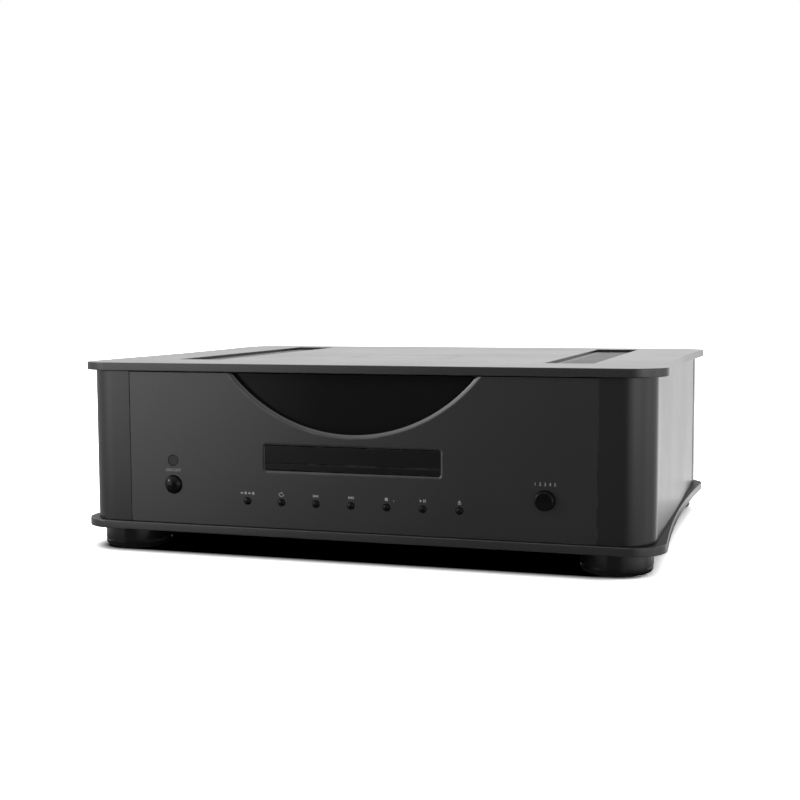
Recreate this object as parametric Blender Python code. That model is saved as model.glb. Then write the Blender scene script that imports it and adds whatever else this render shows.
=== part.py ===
"""A full-width disc player with a front drawer, built as separate pieces.

Metres, front towards -Y, up is +Z, standing on Z = 0 with the middle of its box on the origin.
"""

import math

import bmesh
import bpy

# Driving dimensions of the case
BODY_WIDTH = 0.440
WAIST_WIDTH = 0.4294
BODY_DEPTH = 0.348
PLATE_THICKNESS = 0.006
CORNER_RADIUS = 0.025
FOOT_HEIGHT = 0.017
WALL_HEIGHT = 0.1135
FRONT_EDGE = -0.173
PANEL_INSET = 0.003
PANEL_THICKNESS = 0.005
SHADOW_GAP = 0.0008
GAP = 0.0003

# Corner posts and side walls
POST_INNER_X = 0.1755
POST_OUTER_X = 0.213
POST_DEPTH = 0.0375
POST_RADIUS = 0.023
SIDE_OUTER_X = 0.2127
SIDE_THICKNESS = 0.003
REAR_PANEL_Y = (0.160, 0.163)

# Front openings
ARC_RADIUS = 0.1199
ARC_CENTRE_Z = 0.2126
ARC_CHAMFER = (0.0030, 0.0013)
SLOT_HALF_WIDTH = 0.0662
SLOT_Z = (0.0652, 0.0838)
SLOT_CHAMFER = (0.0018, 0.0008)

# Controls
CONTROL_X = 0.140
CONTROL_Z = 0.052
CONTROL_RADIUS = 0.0067
KNOB_REACH = 0.005
DOME_REACH = 0.004
BUTTON_Z = 0.0421
BUTTON_PITCH = 0.02667
BUTTON_RADIUS = 0.0025
BUTTON_REACH = 0.0016
BUTTON_NAMES = ("display", "repeat", "previous", "next", "stop", "play", "eject")
RECEIVER_Z = 0.0699
RECEIVER_RADIUS = 0.0039
BOARD_Y = (-0.1500, -0.1484)
HEAD_BACK = -0.1640
POWER_STEM = (0.0025, -0.1580)
KNOB_STEM = (0.0030, -0.1602)
PLUNGER_RADIUS = 0.0040
PLUNGER_Y = (-0.1599, -0.1571)
BUTTON_STEM = (0.0014, -0.1547)
BUTTON_FLANGE = 0.0011
SWITCH_Y = {"button": -0.1536, "power": -0.1562, "selector": -0.1560}
CONTROL_BOARD_HALF = 0.152
CONTROL_BOARD_Z = (0.027, 0.056)
STANDOFF_RADIUS = 0.0025
WINDOW_HALF = 0.102
WINDOW_LOW = 0.086
WINDOW_THICKNESS = 0.003
MODULE_HALF = 0.080
MODULE_Z = (0.089, 0.130)
GLASS_HALF = 0.065
GLASS_Z = (0.096, 0.122)

# Top openings
VENT_X = (0.127, 0.163)
VENT_Y = (-0.114, 0.137)
VENT_LEDGE = 0.003
VENT_DEPTH = 0.0035
GRILLE_THICKNESS = 0.0009
GRILLE_SLOTS = 16
BADGE_SIZE = (0.082, 0.050)
BADGE_Y = -0.036
BADGE_THICKNESS = 0.001

# Feet
FOOT_X = 0.185
FOOT_REACH = 0.143
FOOT_RADIUS = 0.025
PAD_RADIUS = 0.018
PAD_STANDOUT = 0.0015
PAD_RECESS = 0.0015

# Disc drawer and its drive
DISC_Y = -0.095
WELL_RADIUS = 0.0608
SMALL_WELL_RADIUS = 0.0408
WELL_FLOOR = 0.0758
SMALL_WELL_FLOOR = 0.0748
TRAY_HALF_WIDTH = 0.062
TRAY_Y = (-0.166, 0.006)
TRAY_Z = (0.071, 0.080)
TRAY_FRONT_HALF = 0.0655
TRAY_FRONT_Z = (0.0660, 0.0830)
TRAY_FRONT_Y = (-0.1693, -0.1663)
TRAY_SLOT_HALF = 0.019
RAIL_X = (0.0626, 0.070)
RAIL_Y = (-0.162, 0.014)
RAIL_STEP = (-0.140, 0.060)
RAIL_TOP = 0.084
RUNNER_Z = (0.073, 0.076)
GROOVE_Z = (0.0725, 0.0765)
GROOVE_DEPTH = 0.0032
GEAR_MODULE = 0.0015
PINION_TEETH = 14
PINION_X = -0.045
PINION_Y = -0.135
RACK_Z = (0.066, 0.0715)
WHEEL_RADIUS = 0.0140
PULLEY_RADIUS = 0.0040
PULLEY_X = -0.005
PULLEY_Y = -0.132
PULLEY_Z = (0.0590, 0.0627)
PINION_Z = (0.0625, 0.0704)
PINION_BORE = 0.0023
STUD_TOP = 0.069
LOADING_MOTOR_RADIUS = 0.010
BELT_Z = (0.0602, 0.0615)
BELT_THICKNESS = 0.0012

# Disc reading unit
BASE_Z = (0.040, 0.042)
BASE_HALF = 0.070
BASE_Y = (-0.144, 0.020)
BASE_LEG_X = 0.066
BASE_LEG_Y = (-0.138, 0.014)
HINGE_Y = 0.003
HINGE_Z = 0.065
HINGE_EAR_X = (0.026, 0.030)
HINGE_PIN_RADIUS = 0.0020
HINGE_BORE = 0.0023
TRAVERSE_Z = (0.0686, 0.0706)
TRAVERSE_HALF = 0.024
TRAVERSE_Y = (-0.112, 0.008)
LUG_TOP = 0.0757
LUG_Y = ((-0.0865, -0.0835), (-0.0120, -0.0090))
SPINDLE_MOTOR_RADIUS = 0.012
SPINDLE_MOTOR_LOW = 0.054
TURNTABLE_RADIUS = 0.0145
TURNTABLE_LOW = 0.0761
CONE_TOP = 0.0821
SPINDLE_TOP = 0.0790
ROD_X = 0.0132
ROD_Z = 0.0732
ROD_RADIUS = 0.0015
SLED_Y = (-0.0795, -0.0550)
SLED_HALF = 0.017
SLED_Z = (0.0710, 0.0766)
LENS_Y = -0.073
LENS_WELL = (0.0032, 0.0744)
ROD_Y = (-0.0832, -0.0123)

# Disc clamp
BRIDGE_Z = (0.0843, 0.0863)
BRIDGE_HALF_DEPTH = 0.018
BRIDGE_HOLE = 0.0122
PUCK_Z = (0.0806, 0.0887)

# Electronics: boards lie on bosses of the bottom plate
AUDIO_BOARD = ((-0.040, 0.165), (0.035, 0.150))
POWER_BOARD = ((-0.165, -0.080), (-0.135, 0.020))
BOARD_LOW = 0.031
BOARD_THICKNESS = 0.0016
BOSS_INSET = 0.006
BOSS_RADIUS = 0.003
TRANSFORMER_PLACE = (-0.115, 0.085)
TRANSFORMER_RADIUS = 0.050
TRANSFORMER_TOP = 0.067

# Rear sockets
SOCKET_Z = 0.052
INLET_X = -0.140
INLET_FLANGE = (0.025, 0.0115)
INLET_BODY = (0.0135, 0.0098)
INLET_SOCKET = (0.0121, 0.0081)
INLET_BACK = 0.140
INLET_FLOOR = 0.149
SOCKET_RADIUS = 0.0050
SOCKET_BACK = 0.150
SOCKET_X = {"left_output_socket": 0.060, "right_output_socket": 0.090, "digital_output_socket": 0.020}

# Places that follow from the driving dimensions
BACK_EDGE = FRONT_EDGE + BODY_DEPTH
MIDDLE_Y = (FRONT_EDGE + BACK_EDGE) / 2
WALL_LOW = FOOT_HEIGHT + PLATE_THICKNESS
WALL_TOP = WALL_LOW + WALL_HEIGHT
TOP = WALL_TOP + PLATE_THICKNESS
PANEL_TOP = WALL_TOP - SHADOW_GAP
PANEL_FRONT = FRONT_EDGE + PANEL_INSET
PANEL_BACK = PANEL_FRONT + PANEL_THICKNESS
LEDGE_Z = TOP - VENT_DEPTH
GEAR_PITCH = math.pi * GEAR_MODULE
PINION_RADIUS = GEAR_MODULE * PINION_TEETH / 2

# Finishes: colour, roughness, metallic
SATIN_BLACK = ((0.035, 0.036, 0.038), 0.38, 0.9)
VENT_METAL = ((0.030, 0.030, 0.031), 0.35, 0.9)
SMOKED = ((0.004, 0.004, 0.005), 0.05, 0.0)
GLOSS_BLACK = ((0.008, 0.008, 0.009), 0.12, 0.0)
RUBBER = ((0.02, 0.02, 0.02), 0.8, 0.0)
PLASTIC = ((0.05, 0.05, 0.055), 0.5, 0.0)
STEEL = ((0.55, 0.55, 0.56), 0.3, 1.0)
BOARD_GREEN = ((0.02, 0.12, 0.06), 0.5, 0.0)
BRASS = ((0.75, 0.6, 0.3), 0.25, 1.0)
NYLON = ((0.75, 0.74, 0.70), 0.45, 0.0)


# Outlines and shapes


def arc(centre, radius, first, last, steps):
    """Points of an arc, angles in degrees, both ends included."""
    points = []
    for i in range(steps + 1):
        angle = math.radians(first + (last - first) * i / steps)
        points.append((centre[0] + radius * math.cos(angle), centre[1] + radius * math.sin(angle)))
    return points


def rectangle(a, b):
    """Corners of a rectangle from its two ranges."""
    return [(a[0], b[0]), (a[1], b[0]), (a[1], b[1]), (a[0], b[1])]


def rounded_rectangle(a, b, radius, steps=4):
    """Outline of a rectangle with round corners."""
    corners = ((a[1], b[0], -90), (a[1], b[1], 0), (a[0], b[1], 90), (a[0], b[0], 180))
    outline = []
    for x, y, start in corners:
        centre = (x - math.copysign(radius, x - sum(a) / 2), y - math.copysign(radius, y - sum(b) / 2))
        outline += arc(centre, radius, start, start + 90, steps)
    return outline


def lift(outline, axis, level):
    """A flat outline placed in space, square to an axis at a level."""
    place = {
        "X": lambda a, b: (level, a, b),
        "Y": lambda a, b: (a, level, b),
        "Z": lambda a, b: (a, b, level),
    }[axis]
    return [place(a, b) for a, b in outline]


def add_loft(shape, rings):
    """A closed body through rings of equal length, with both ends capped."""
    loops = [[shape.verts.new(point) for point in ring] for ring in rings]
    for one, two in zip(loops, loops[1:]):
        for i in range(len(one)):
            j = (i + 1) % len(one)
            shape.faces.new((one[i], one[j], two[j], two[i]))
    shape.faces.new(loops[0])
    shape.faces.new(loops[-1])


def add_prism(shape, outline, axis, low, high):
    """An outline extruded along an axis."""
    add_loft(shape, [lift(outline, axis, low), lift(outline, axis, high)])


def add_block(shape, x, y, z):
    """A box from its three ranges."""
    add_prism(shape, rectangle(x, y), "Z", *z)


def add_turned(shape, profile, axis, centre, sides):
    """A profile of (radius, level) points, both ends on the axis, turned about that axis."""
    direction = {"X": (1, 0, 0), "Y": (0, 1, 0), "Z": (0, 0, 1)}[axis]
    pivot = lift([centre], axis, 0.0)[0]
    points = [lift([(centre[0] + radius, centre[1])], axis, level)[0] for radius, level in profile]
    verts = [shape.verts.new(point) for point in points]
    edges = [shape.edges.new(pair) for pair in zip(verts, verts[1:])]
    turn = {"cent": pivot, "axis": direction, "angle": math.tau, "steps": sides}
    bmesh.ops.spin(shape, geom=verts + edges, use_merge=True, **turn)
    bmesh.ops.remove_doubles(shape, verts=shape.verts, dist=1e-6)


def add_rod(shape, radius, axis, centre, low, high, sides=12):
    """A plain round bar along an axis."""
    add_turned(shape, [(0, low), (radius, low), (radius, high), (0, high)], axis, centre, sides)


# Objects and their joins


def principled(name, finish):
    """A material of one colour for one piece."""
    colour, roughness, metallic = finish
    material = bpy.data.materials.new(name)
    material.use_nodes = True
    shader = material.node_tree.nodes["Principled BSDF"]
    shader.inputs["Base Color"].default_value = (*colour, 1.0)
    shader.inputs["Roughness"].default_value = roughness
    shader.inputs["Metallic"].default_value = metallic
    material.diffuse_color = (*colour, 1.0)
    return material


def object_from(name, shape, origin=(0, 0, 0)):
    """An object from a finished shape, which is drawn in world coordinates."""
    bmesh.ops.recalc_face_normals(shape, faces=shape.faces)
    bmesh.ops.translate(shape, verts=shape.verts, vec=[-value for value in origin])
    mesh = bpy.data.meshes.new(name)
    shape.to_mesh(mesh)
    shape.free()
    made = bpy.data.objects.new(name, mesh)
    made.location = origin
    bpy.context.scene.collection.objects.link(made)
    return made


def piece(name, shape, finish, origin=(0, 0, 0), smooth=False):
    """A visible piece with its own material."""
    made = object_from(name, shape, origin)
    made.data.materials.append(principled(name, finish))
    if smooth:
        made.data.shade_smooth()
        made.data.set_sharp_from_angle(angle=math.radians(30))
    return made


def combine(target, operation, shape):
    """Joins a shape to a piece, or cuts it away, by a hidden helper."""
    helper = object_from(f"{target.name}_helper_{len(target.modifiers)}", shape)
    helper.hide_render = True
    helper.display_type = "WIRE"
    modifier = target.modifiers.new(operation.title(), "BOOLEAN")
    modifier.operation = operation
    modifier.object = helper
    modifier.solver = "EXACT"


# Case


def plate_outline():
    """Straight front and back, round corners and hollow sides, each tangent to the next."""
    corner_x = BODY_WIDTH / 2 - CORNER_RADIUS
    reach = BODY_DEPTH / 2 - CORNER_RADIUS
    waist = WAIST_WIDTH / 2 - corner_x
    side_radius = (waist**2 + reach**2 - CORNER_RADIUS**2) / (2 * (CORNER_RADIUS - waist))
    side_x = corner_x + waist + side_radius
    tilt = math.degrees(math.asin(reach / (side_radius + CORNER_RADIUS)))
    right = arc((corner_x, -reach), CORNER_RADIUS, -90, tilt, 8)
    right += arc((side_x, 0), side_radius, 180 + tilt, 180 - tilt, 12)[1:-1]
    right += arc((corner_x, reach), CORNER_RADIUS, -tilt, 90, 8)
    both = right + [(-x, -y) for x, y in right]
    return [(x, y + MIDDLE_Y) for x, y in both]


def make_bottom_plate():
    """Base plate with round bosses that carry the two circuit boards."""
    shape = bmesh.new()
    add_prism(shape, plate_outline(), "Z", FOOT_HEIGHT, WALL_LOW)
    plate = piece("bottom_plate", shape, SATIN_BLACK)
    bosses = bmesh.new()
    for x_range, y_range in (AUDIO_BOARD, POWER_BOARD):
        for x in (x_range[0] + BOSS_INSET, x_range[1] - BOSS_INSET):
            for y in (y_range[0] + BOSS_INSET, y_range[1] - BOSS_INSET):
                add_rod(bosses, BOSS_RADIUS, "Z", (x, y), WALL_LOW - 0.001, BOARD_LOW - GAP)
    combine(plate, "UNION", bosses)


def make_top_plate():
    """Lid with two stepped vent openings and a shallow pocket for the blank badge."""
    shape = bmesh.new()
    add_prism(shape, plate_outline(), "Z", WALL_TOP, TOP)
    plate = piece("top_plate", shape, SATIN_BLACK)
    cuts = bmesh.new()
    for side in (-1, 1):
        outer = sorted(side * x for x in VENT_X)
        add_block(cuts, outer, VENT_Y, (LEDGE_Z, TOP + 0.002))
    pocket = [size / 2 + GAP for size in BADGE_SIZE]
    x_range = (-pocket[0], pocket[0])
    y_range = (BADGE_Y - pocket[1], BADGE_Y + pocket[1])
    add_block(cuts, x_range, y_range, (TOP - BADGE_THICKNESS - GAP, TOP + 0.002))
    combine(plate, "DIFFERENCE", cuts)
    through = bmesh.new()
    for side in (-1, 1):
        inner = sorted(side * x for x in (VENT_X[0] + VENT_LEDGE, VENT_X[1] - VENT_LEDGE))
        y_range = (VENT_Y[0] + VENT_LEDGE, VENT_Y[1] - VENT_LEDGE)
        add_block(through, inner, y_range, (WALL_TOP - 0.002, TOP))
    combine(plate, "DIFFERENCE", through)


def make_vent_grille(name, side):
    """Thin sheet with a row of slots, lying on the ledge of a vent opening."""
    low = LEDGE_Z + GAP
    x_range = sorted(side * x for x in (VENT_X[0] + GAP, VENT_X[1] - GAP))
    y_range = (VENT_Y[0] + GAP, VENT_Y[1] - GAP)
    shape = bmesh.new()
    add_block(shape, x_range, y_range, (low, low + GRILLE_THICKNESS))
    grille = piece(name, shape, VENT_METAL)
    slots = bmesh.new()
    pitch = (y_range[1] - y_range[0]) / GRILLE_SLOTS
    bar = pitch * 0.3
    x_slot = (x_range[0] + 0.005, x_range[1] - 0.005)
    for i in range(GRILLE_SLOTS):
        start = y_range[0] + i * pitch
        add_block(slots, x_slot, (start + bar, start + pitch - bar), (low - 0.002, low + 0.003))
    combine(grille, "DIFFERENCE", slots)


def make_badge_plate():
    """Blank inlay, flush with the top."""
    shape = bmesh.new()
    half = [size / 2 for size in BADGE_SIZE]
    y_range = (BADGE_Y - half[1], BADGE_Y + half[1])
    add_block(shape, (-half[0], half[0]), y_range, (TOP - BADGE_THICKNESS, TOP))
    piece("badge_plate", shape, SATIN_BLACK)


def make_post(name, side, end):
    """Corner post with one large round edge; side is the sign of X and end that of Y."""
    reach = MIDDLE_Y - PANEL_FRONT
    inner_y = reach - POST_DEPTH
    outline = [(POST_INNER_X, inner_y), (POST_OUTER_X, inner_y)]
    outline += arc((POST_OUTER_X - POST_RADIUS, reach - POST_RADIUS), POST_RADIUS, 0, 90, 10)
    outline += [(POST_INNER_X, reach)]
    placed = [(side * x, MIDDLE_Y + end * y) for x, y in outline]
    shape = bmesh.new()
    add_prism(shape, placed, "Z", WALL_LOW + GAP, WALL_TOP - GAP)
    piece(name, shape, SATIN_BLACK, smooth=True)


def make_side_panel(name, side):
    """Flat wall between the front and rear posts."""
    reach = MIDDLE_Y - PANEL_FRONT - POST_DEPTH - GAP
    x_range = sorted(side * x for x in (SIDE_OUTER_X - SIDE_THICKNESS, SIDE_OUTER_X))
    shape = bmesh.new()
    add_block(shape, x_range, (MIDDLE_Y - reach, MIDDLE_Y + reach), (WALL_LOW + GAP, PANEL_TOP))
    piece(name, shape, SATIN_BLACK)


def button_places():
    """Name and X of each small button, from left to right."""
    first = -BUTTON_PITCH * (len(BUTTON_NAMES) - 1) / 2
    return [(name, first + i * BUTTON_PITCH) for i, name in enumerate(BUTTON_NAMES)]


def make_front_panel():
    """Thick front with the arc over the display, the drawer slot and the control holes."""
    half = POST_INNER_X - GAP
    shape = bmesh.new()
    add_prism(shape, rectangle((-half, half), (WALL_LOW + GAP, PANEL_TOP)), "Y", PANEL_FRONT, PANEL_BACK)
    panel = piece("front_panel", shape, SATIN_BLACK)
    over = 0.002
    slope = ARC_CHAMFER[0] / ARC_CHAMFER[1]
    bowl = bmesh.new()
    profile = [
        (0, PANEL_FRONT - over),
        (ARC_RADIUS + ARC_CHAMFER[0] + over * slope, PANEL_FRONT - over),
        (ARC_RADIUS, PANEL_FRONT + ARC_CHAMFER[1]),
        (ARC_RADIUS, PANEL_BACK + over),
        (0, PANEL_BACK + over),
    ]
    add_turned(bowl, profile, "Y", (0, ARC_CENTRE_Z), 96)
    combine(panel, "DIFFERENCE", bowl)
    holes = bmesh.new()
    rings = []
    mouth = SLOT_CHAMFER[0] * (1 + over / SLOT_CHAMFER[1])
    for level, grow in ((-over, mouth), (SLOT_CHAMFER[1], 0), (PANEL_THICKNESS + over, 0)):
        x_range = (-SLOT_HALF_WIDTH - grow, SLOT_HALF_WIDTH + grow)
        z_range = (SLOT_Z[0] - grow, SLOT_Z[1] + grow)
        outline = rounded_rectangle(x_range, z_range, 0.0015 + grow, 3)
        rings.append(lift(outline, "Y", PANEL_FRONT + level))
    add_loft(holes, rings)
    reach = (PANEL_FRONT - over, PANEL_BACK + over)
    for _, x in button_places():
        add_rod(holes, BUTTON_RADIUS + GAP, "Y", (x, BUTTON_Z), *reach, sides=16)
    for x in (-CONTROL_X, CONTROL_X):
        add_rod(holes, CONTROL_RADIUS + GAP, "Y", (x, CONTROL_Z), *reach, sides=28)
    add_rod(holes, RECEIVER_RADIUS + GAP, "Y", (-CONTROL_X, RECEIVER_Z), *reach, sides=20)
    combine(panel, "DIFFERENCE", holes)


def make_rear_panel():
    """Back wall with the openings for the power inlet and the sockets."""
    half = POST_INNER_X - GAP
    shape = bmesh.new()
    outline = rectangle((-half, half), (WALL_LOW + GAP, PANEL_TOP))
    add_prism(shape, outline, "Y", *REAR_PANEL_Y)
    panel = piece("rear_panel", shape, SATIN_BLACK)
    holes = bmesh.new()
    reach = (REAR_PANEL_Y[0] - 0.002, REAR_PANEL_Y[1] + 0.002)
    inlet = [half + GAP for half in INLET_BODY]
    x_range = (INLET_X - inlet[0], INLET_X + inlet[0])
    add_prism(holes, rectangle(x_range, (SOCKET_Z - inlet[1], SOCKET_Z + inlet[1])), "Y", *reach)
    for x in SOCKET_X.values():
        add_rod(holes, SOCKET_RADIUS + GAP, "Y", (x, SOCKET_Z), *reach, sides=20)
    combine(panel, "DIFFERENCE", holes)


def make_foot(name, x, y):
    """Round foot with a rounded lower rim and a recess for its pad, and the rubber pad."""
    radius = FOOT_RADIUS
    recess = PAD_STANDOUT + PAD_RECESS
    profile = [
        (0, FOOT_HEIGHT - GAP),
        (radius, FOOT_HEIGHT - GAP),
        (radius, PAD_STANDOUT + 0.0035),
        (radius - 0.0008, PAD_STANDOUT + 0.0012),
        (radius - 0.0030, PAD_STANDOUT),
        (PAD_RADIUS + GAP, PAD_STANDOUT),
        (PAD_RADIUS + GAP, recess),
        (0, recess),
    ]
    shape = bmesh.new()
    add_turned(shape, profile, "Z", (x, y), 32)
    piece(f"foot_{name}", shape, SATIN_BLACK, smooth=True)
    pad = bmesh.new()
    add_rod(pad, PAD_RADIUS, "Z", (x, y), 0.0, recess - GAP, sides=24)
    piece(f"foot_pad_{name}", pad, RUBBER, smooth=True)


# Controls and display


def make_power_button():
    """Glossy domed push button."""
    tip = PANEL_FRONT - DOME_REACH
    profile = [(0, tip)]
    for degrees in (22, 42, 60, 76):
        angle = math.radians(degrees)
        profile.append((CONTROL_RADIUS * math.sin(angle), tip + DOME_REACH * (1 - math.cos(angle))))
    profile += [(CONTROL_RADIUS, PANEL_FRONT), (CONTROL_RADIUS, HEAD_BACK), (POWER_STEM[0], HEAD_BACK)]
    profile += [POWER_STEM, (0, POWER_STEM[1])]
    shape = bmesh.new()
    add_turned(shape, profile, "Y", (-CONTROL_X, CONTROL_Z), 28)
    piece("power_button", shape, GLOSS_BLACK, (-CONTROL_X, tip, CONTROL_Z), smooth=True)


def make_selector():
    """Turning knob with its shaft, and the plunger that it presses."""
    tip = PANEL_FRONT - KNOB_REACH
    centre = (CONTROL_X, CONTROL_Z)
    profile = [(0, tip), (CONTROL_RADIUS - 0.0007, tip), (CONTROL_RADIUS, tip + 0.0007)]
    profile += [(CONTROL_RADIUS, HEAD_BACK), (KNOB_STEM[0], HEAD_BACK), KNOB_STEM, (0, KNOB_STEM[1])]
    shape = bmesh.new()
    add_turned(shape, profile, "Y", centre, 28)
    piece("selector_knob", shape, GLOSS_BLACK, (CONTROL_X, tip, CONTROL_Z), smooth=True)
    plunger = bmesh.new()
    add_rod(plunger, PLUNGER_RADIUS, "Y", centre, *PLUNGER_Y, sides=16)
    piece("selector_plunger", plunger, STEEL, smooth=True)


def make_small_buttons():
    """Row of seven small push buttons, each with a flange behind the panel and a stem."""
    tip = PANEL_FRONT - BUTTON_REACH
    for name, x in button_places():
        profile = [
            (0, tip),
            (0.0016, tip + 0.0002),
            (BUTTON_RADIUS, tip + 0.0010),
            (BUTTON_RADIUS, PANEL_BACK + 0.0005),
            (BUTTON_RADIUS + BUTTON_FLANGE, PANEL_BACK + 0.0005),
            (BUTTON_RADIUS + BUTTON_FLANGE, PANEL_BACK + 0.0013),
            (BUTTON_STEM[0], PANEL_BACK + 0.0013),
            BUTTON_STEM,
            (0, BUTTON_STEM[1]),
        ]
        shape = bmesh.new()
        add_turned(shape, profile, "Y", (x, BUTTON_Z), 14)
        piece(f"{name}_button", shape, GLOSS_BLACK, (x, tip, BUTTON_Z), smooth=True)


def make_receiver_window():
    """Dark round window of the remote control's receiver, flush with the panel."""
    shape = bmesh.new()
    centre = (-CONTROL_X, RECEIVER_Z)
    add_rod(shape, RECEIVER_RADIUS, "Y", centre, PANEL_FRONT, PANEL_BACK + 0.001, sides=20)
    piece("receiver_window", shape, SMOKED, smooth=True)


def make_control_board():
    """Circuit board behind the buttons, with a switch for each and bosses to the panel."""
    shape = bmesh.new()
    add_block(shape, (-CONTROL_BOARD_HALF, CONTROL_BOARD_HALF), BOARD_Y, CONTROL_BOARD_Z)
    board = piece("control_board", shape, BOARD_GREEN)
    overlap = BOARD_Y[0] + 0.0005
    parts = bmesh.new()
    for _, x in button_places():
        z_range = (BUTTON_Z - 0.003, BUTTON_Z + 0.003)
        add_block(parts, (x - 0.003, x + 0.003), (SWITCH_Y["button"], overlap), z_range)
    for x, front in ((-CONTROL_X, SWITCH_Y["power"]), (CONTROL_X, SWITCH_Y["selector"])):
        z_range = (CONTROL_Z - 0.006, CONTROL_Z + 0.0055)
        add_block(parts, (x - 0.006, x + 0.006), (front, overlap), z_range)
    for x in (-0.110, -0.067, 0.067, 0.110):
        add_rod(parts, STANDOFF_RADIUS, "Y", (x, CONTROL_BOARD_Z[0] + 0.005), PANEL_BACK + GAP, overlap)
    combine(board, "UNION", parts)


def make_display():
    """Smoked window behind the arc, and the display module behind the window."""
    shape = bmesh.new()
    window_y = (PANEL_BACK + GAP, PANEL_BACK + GAP + WINDOW_THICKNESS)
    add_block(shape, (-WINDOW_HALF, WINDOW_HALF), window_y, (WINDOW_LOW, PANEL_TOP - GAP))
    piece("display_window", shape, SMOKED)
    back = window_y[1] + GAP
    board = bmesh.new()
    add_block(board, (-MODULE_HALF, MODULE_HALF), BOARD_Y, MODULE_Z)
    module = piece("display_module", board, PLASTIC)
    parts = bmesh.new()
    overlap = BOARD_Y[0] + 0.0005
    add_block(parts, (-GLASS_HALF, GLASS_HALF), (back + 0.0005, overlap), GLASS_Z)
    for x in (-MODULE_HALF + 0.005, MODULE_HALF - 0.005):
        for z in (MODULE_Z[0] + 0.0035, MODULE_Z[1] - 0.0035):
            add_rod(parts, STANDOFF_RADIUS, "Y", (x, z), back, overlap)
    combine(module, "UNION", parts)


# Drawer and loading drive


def tooth_steps(module):
    """Half thickness of a tooth at its tip and root, and how far these lie from the pitch line."""
    half = 0.21 * math.pi * module
    tip = 0.8 * module
    root = 1.1 * module
    slope = math.tan(math.radians(20))
    return half - tip * slope, half + root * slope, tip, root


def gear_outline(teeth, centre):
    """Outline of a small gear whose gap, not a tooth, points along -X."""
    half_tip, half_root, tip, root = tooth_steps(GEAR_MODULE)
    radius = GEAR_MODULE * teeth / 2
    outline = []
    for i in range(teeth):
        angle = math.pi + math.tau * (i + 0.5) / teeth
        for reach, half in ((-root, -half_root), (tip, -half_tip), (tip, half_tip), (-root, half_root)):
            turn = angle + half / (radius + reach)
            point = ((radius + reach) * math.cos(turn), (radius + reach) * math.sin(turn))
            outline.append((centre[0] + point[0], centre[1] + point[1]))
    return outline


def rack_outline(back_x, low_y, high_y):
    """Outline of the drawer's rack, teeth towards +X, with a tooth opposite the pinion's axis."""
    half_tip, half_root, tip, root = tooth_steps(GEAR_MODULE)
    pitch_x = PINION_X - PINION_RADIUS
    first = math.ceil((low_y + GEAR_PITCH / 2 - PINION_Y) / GEAR_PITCH)
    last = math.floor((high_y - GEAR_PITCH / 2 - PINION_Y) / GEAR_PITCH)
    outline = [(back_x, high_y), (back_x, low_y), (pitch_x - root, low_y)]
    for i in range(first, last + 1):
        y = PINION_Y + i * GEAR_PITCH
        outline += [(pitch_x - root, y - half_root), (pitch_x + tip, y - half_tip)]
        outline += [(pitch_x + tip, y + half_tip), (pitch_x - root, y + half_root)]
    return outline + [(pitch_x - root, high_y)]


def make_disc_tray():
    """Drawer with the disc wells, a slot for the reading unit, side runners and a rack."""
    half = TRAY_HALF_WIDTH
    back = TRAY_Y[1]
    outline = [(-half, back), (-half, TRAY_Y[0]), (half, TRAY_Y[0]), (half, back), (TRAY_SLOT_HALF, back)]
    outline += arc((0, DISC_Y), TRAY_SLOT_HALF, 0, -180, 16)
    outline += [(-TRAY_SLOT_HALF, back)]
    shape = bmesh.new()
    add_prism(shape, outline, "Z", *TRAY_Z)
    tray = piece("disc_tray", shape, PLASTIC)
    added = bmesh.new()
    for side in (-1, 1):
        x_range = sorted(side * x for x in (half - 0.0008, half + 0.0034))
        add_block(added, x_range, (TRAY_Y[0] + 0.006, back - 0.001), RUNNER_Z)
    rack_y = (TRAY_Y[0] + 0.002, back - 0.0005)
    add_prism(added, rack_outline(0.002 - half, *rack_y), "Z", *RACK_Z)
    combine(tray, "UNION", added)
    well = bmesh.new()
    profile = [
        (0, SMALL_WELL_FLOOR),
        (SMALL_WELL_RADIUS, SMALL_WELL_FLOOR),
        (SMALL_WELL_RADIUS, WELL_FLOOR),
        (WELL_RADIUS, WELL_FLOOR),
        (WELL_RADIUS, TRAY_Z[1] + 0.002),
        (0, TRAY_Z[1] + 0.002),
    ]
    add_turned(well, profile, "Z", (0, DISC_Y), 56)
    combine(tray, "DIFFERENCE", well)


def make_tray_front():
    """Bar that closes the slot in the front panel."""
    shape = bmesh.new()
    outline = rounded_rectangle((-TRAY_FRONT_HALF, TRAY_FRONT_HALF), TRAY_FRONT_Z, 0.001, 2)
    add_prism(shape, outline, "Y", *TRAY_FRONT_Y)
    piece("tray_front", shape, SATIN_BLACK)


def make_tray_rail(name, side):
    """Side wall of the disc drive, with the groove in which the drawer's runner slides."""
    low = BASE_Z[1] + GAP
    outline = [(RAIL_Y[0], RAIL_STEP[1]), (RAIL_Y[0], RAIL_TOP), (RAIL_Y[1], RAIL_TOP)]
    outline += [(RAIL_Y[1], low), (RAIL_STEP[0], low), RAIL_STEP]
    shape = bmesh.new()
    add_prism(shape, outline, "X", *sorted(side * x for x in RAIL_X))
    rail = piece(name, shape, PLASTIC)
    groove = bmesh.new()
    x_range = sorted(side * x for x in (RAIL_X[0] - 0.001, RAIL_X[0] + GROOVE_DEPTH))
    add_block(groove, x_range, (RAIL_Y[0] - 0.002, RAIL_Y[1] + 0.002), GROOVE_Z)
    combine(rail, "DIFFERENCE", groove)


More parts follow.
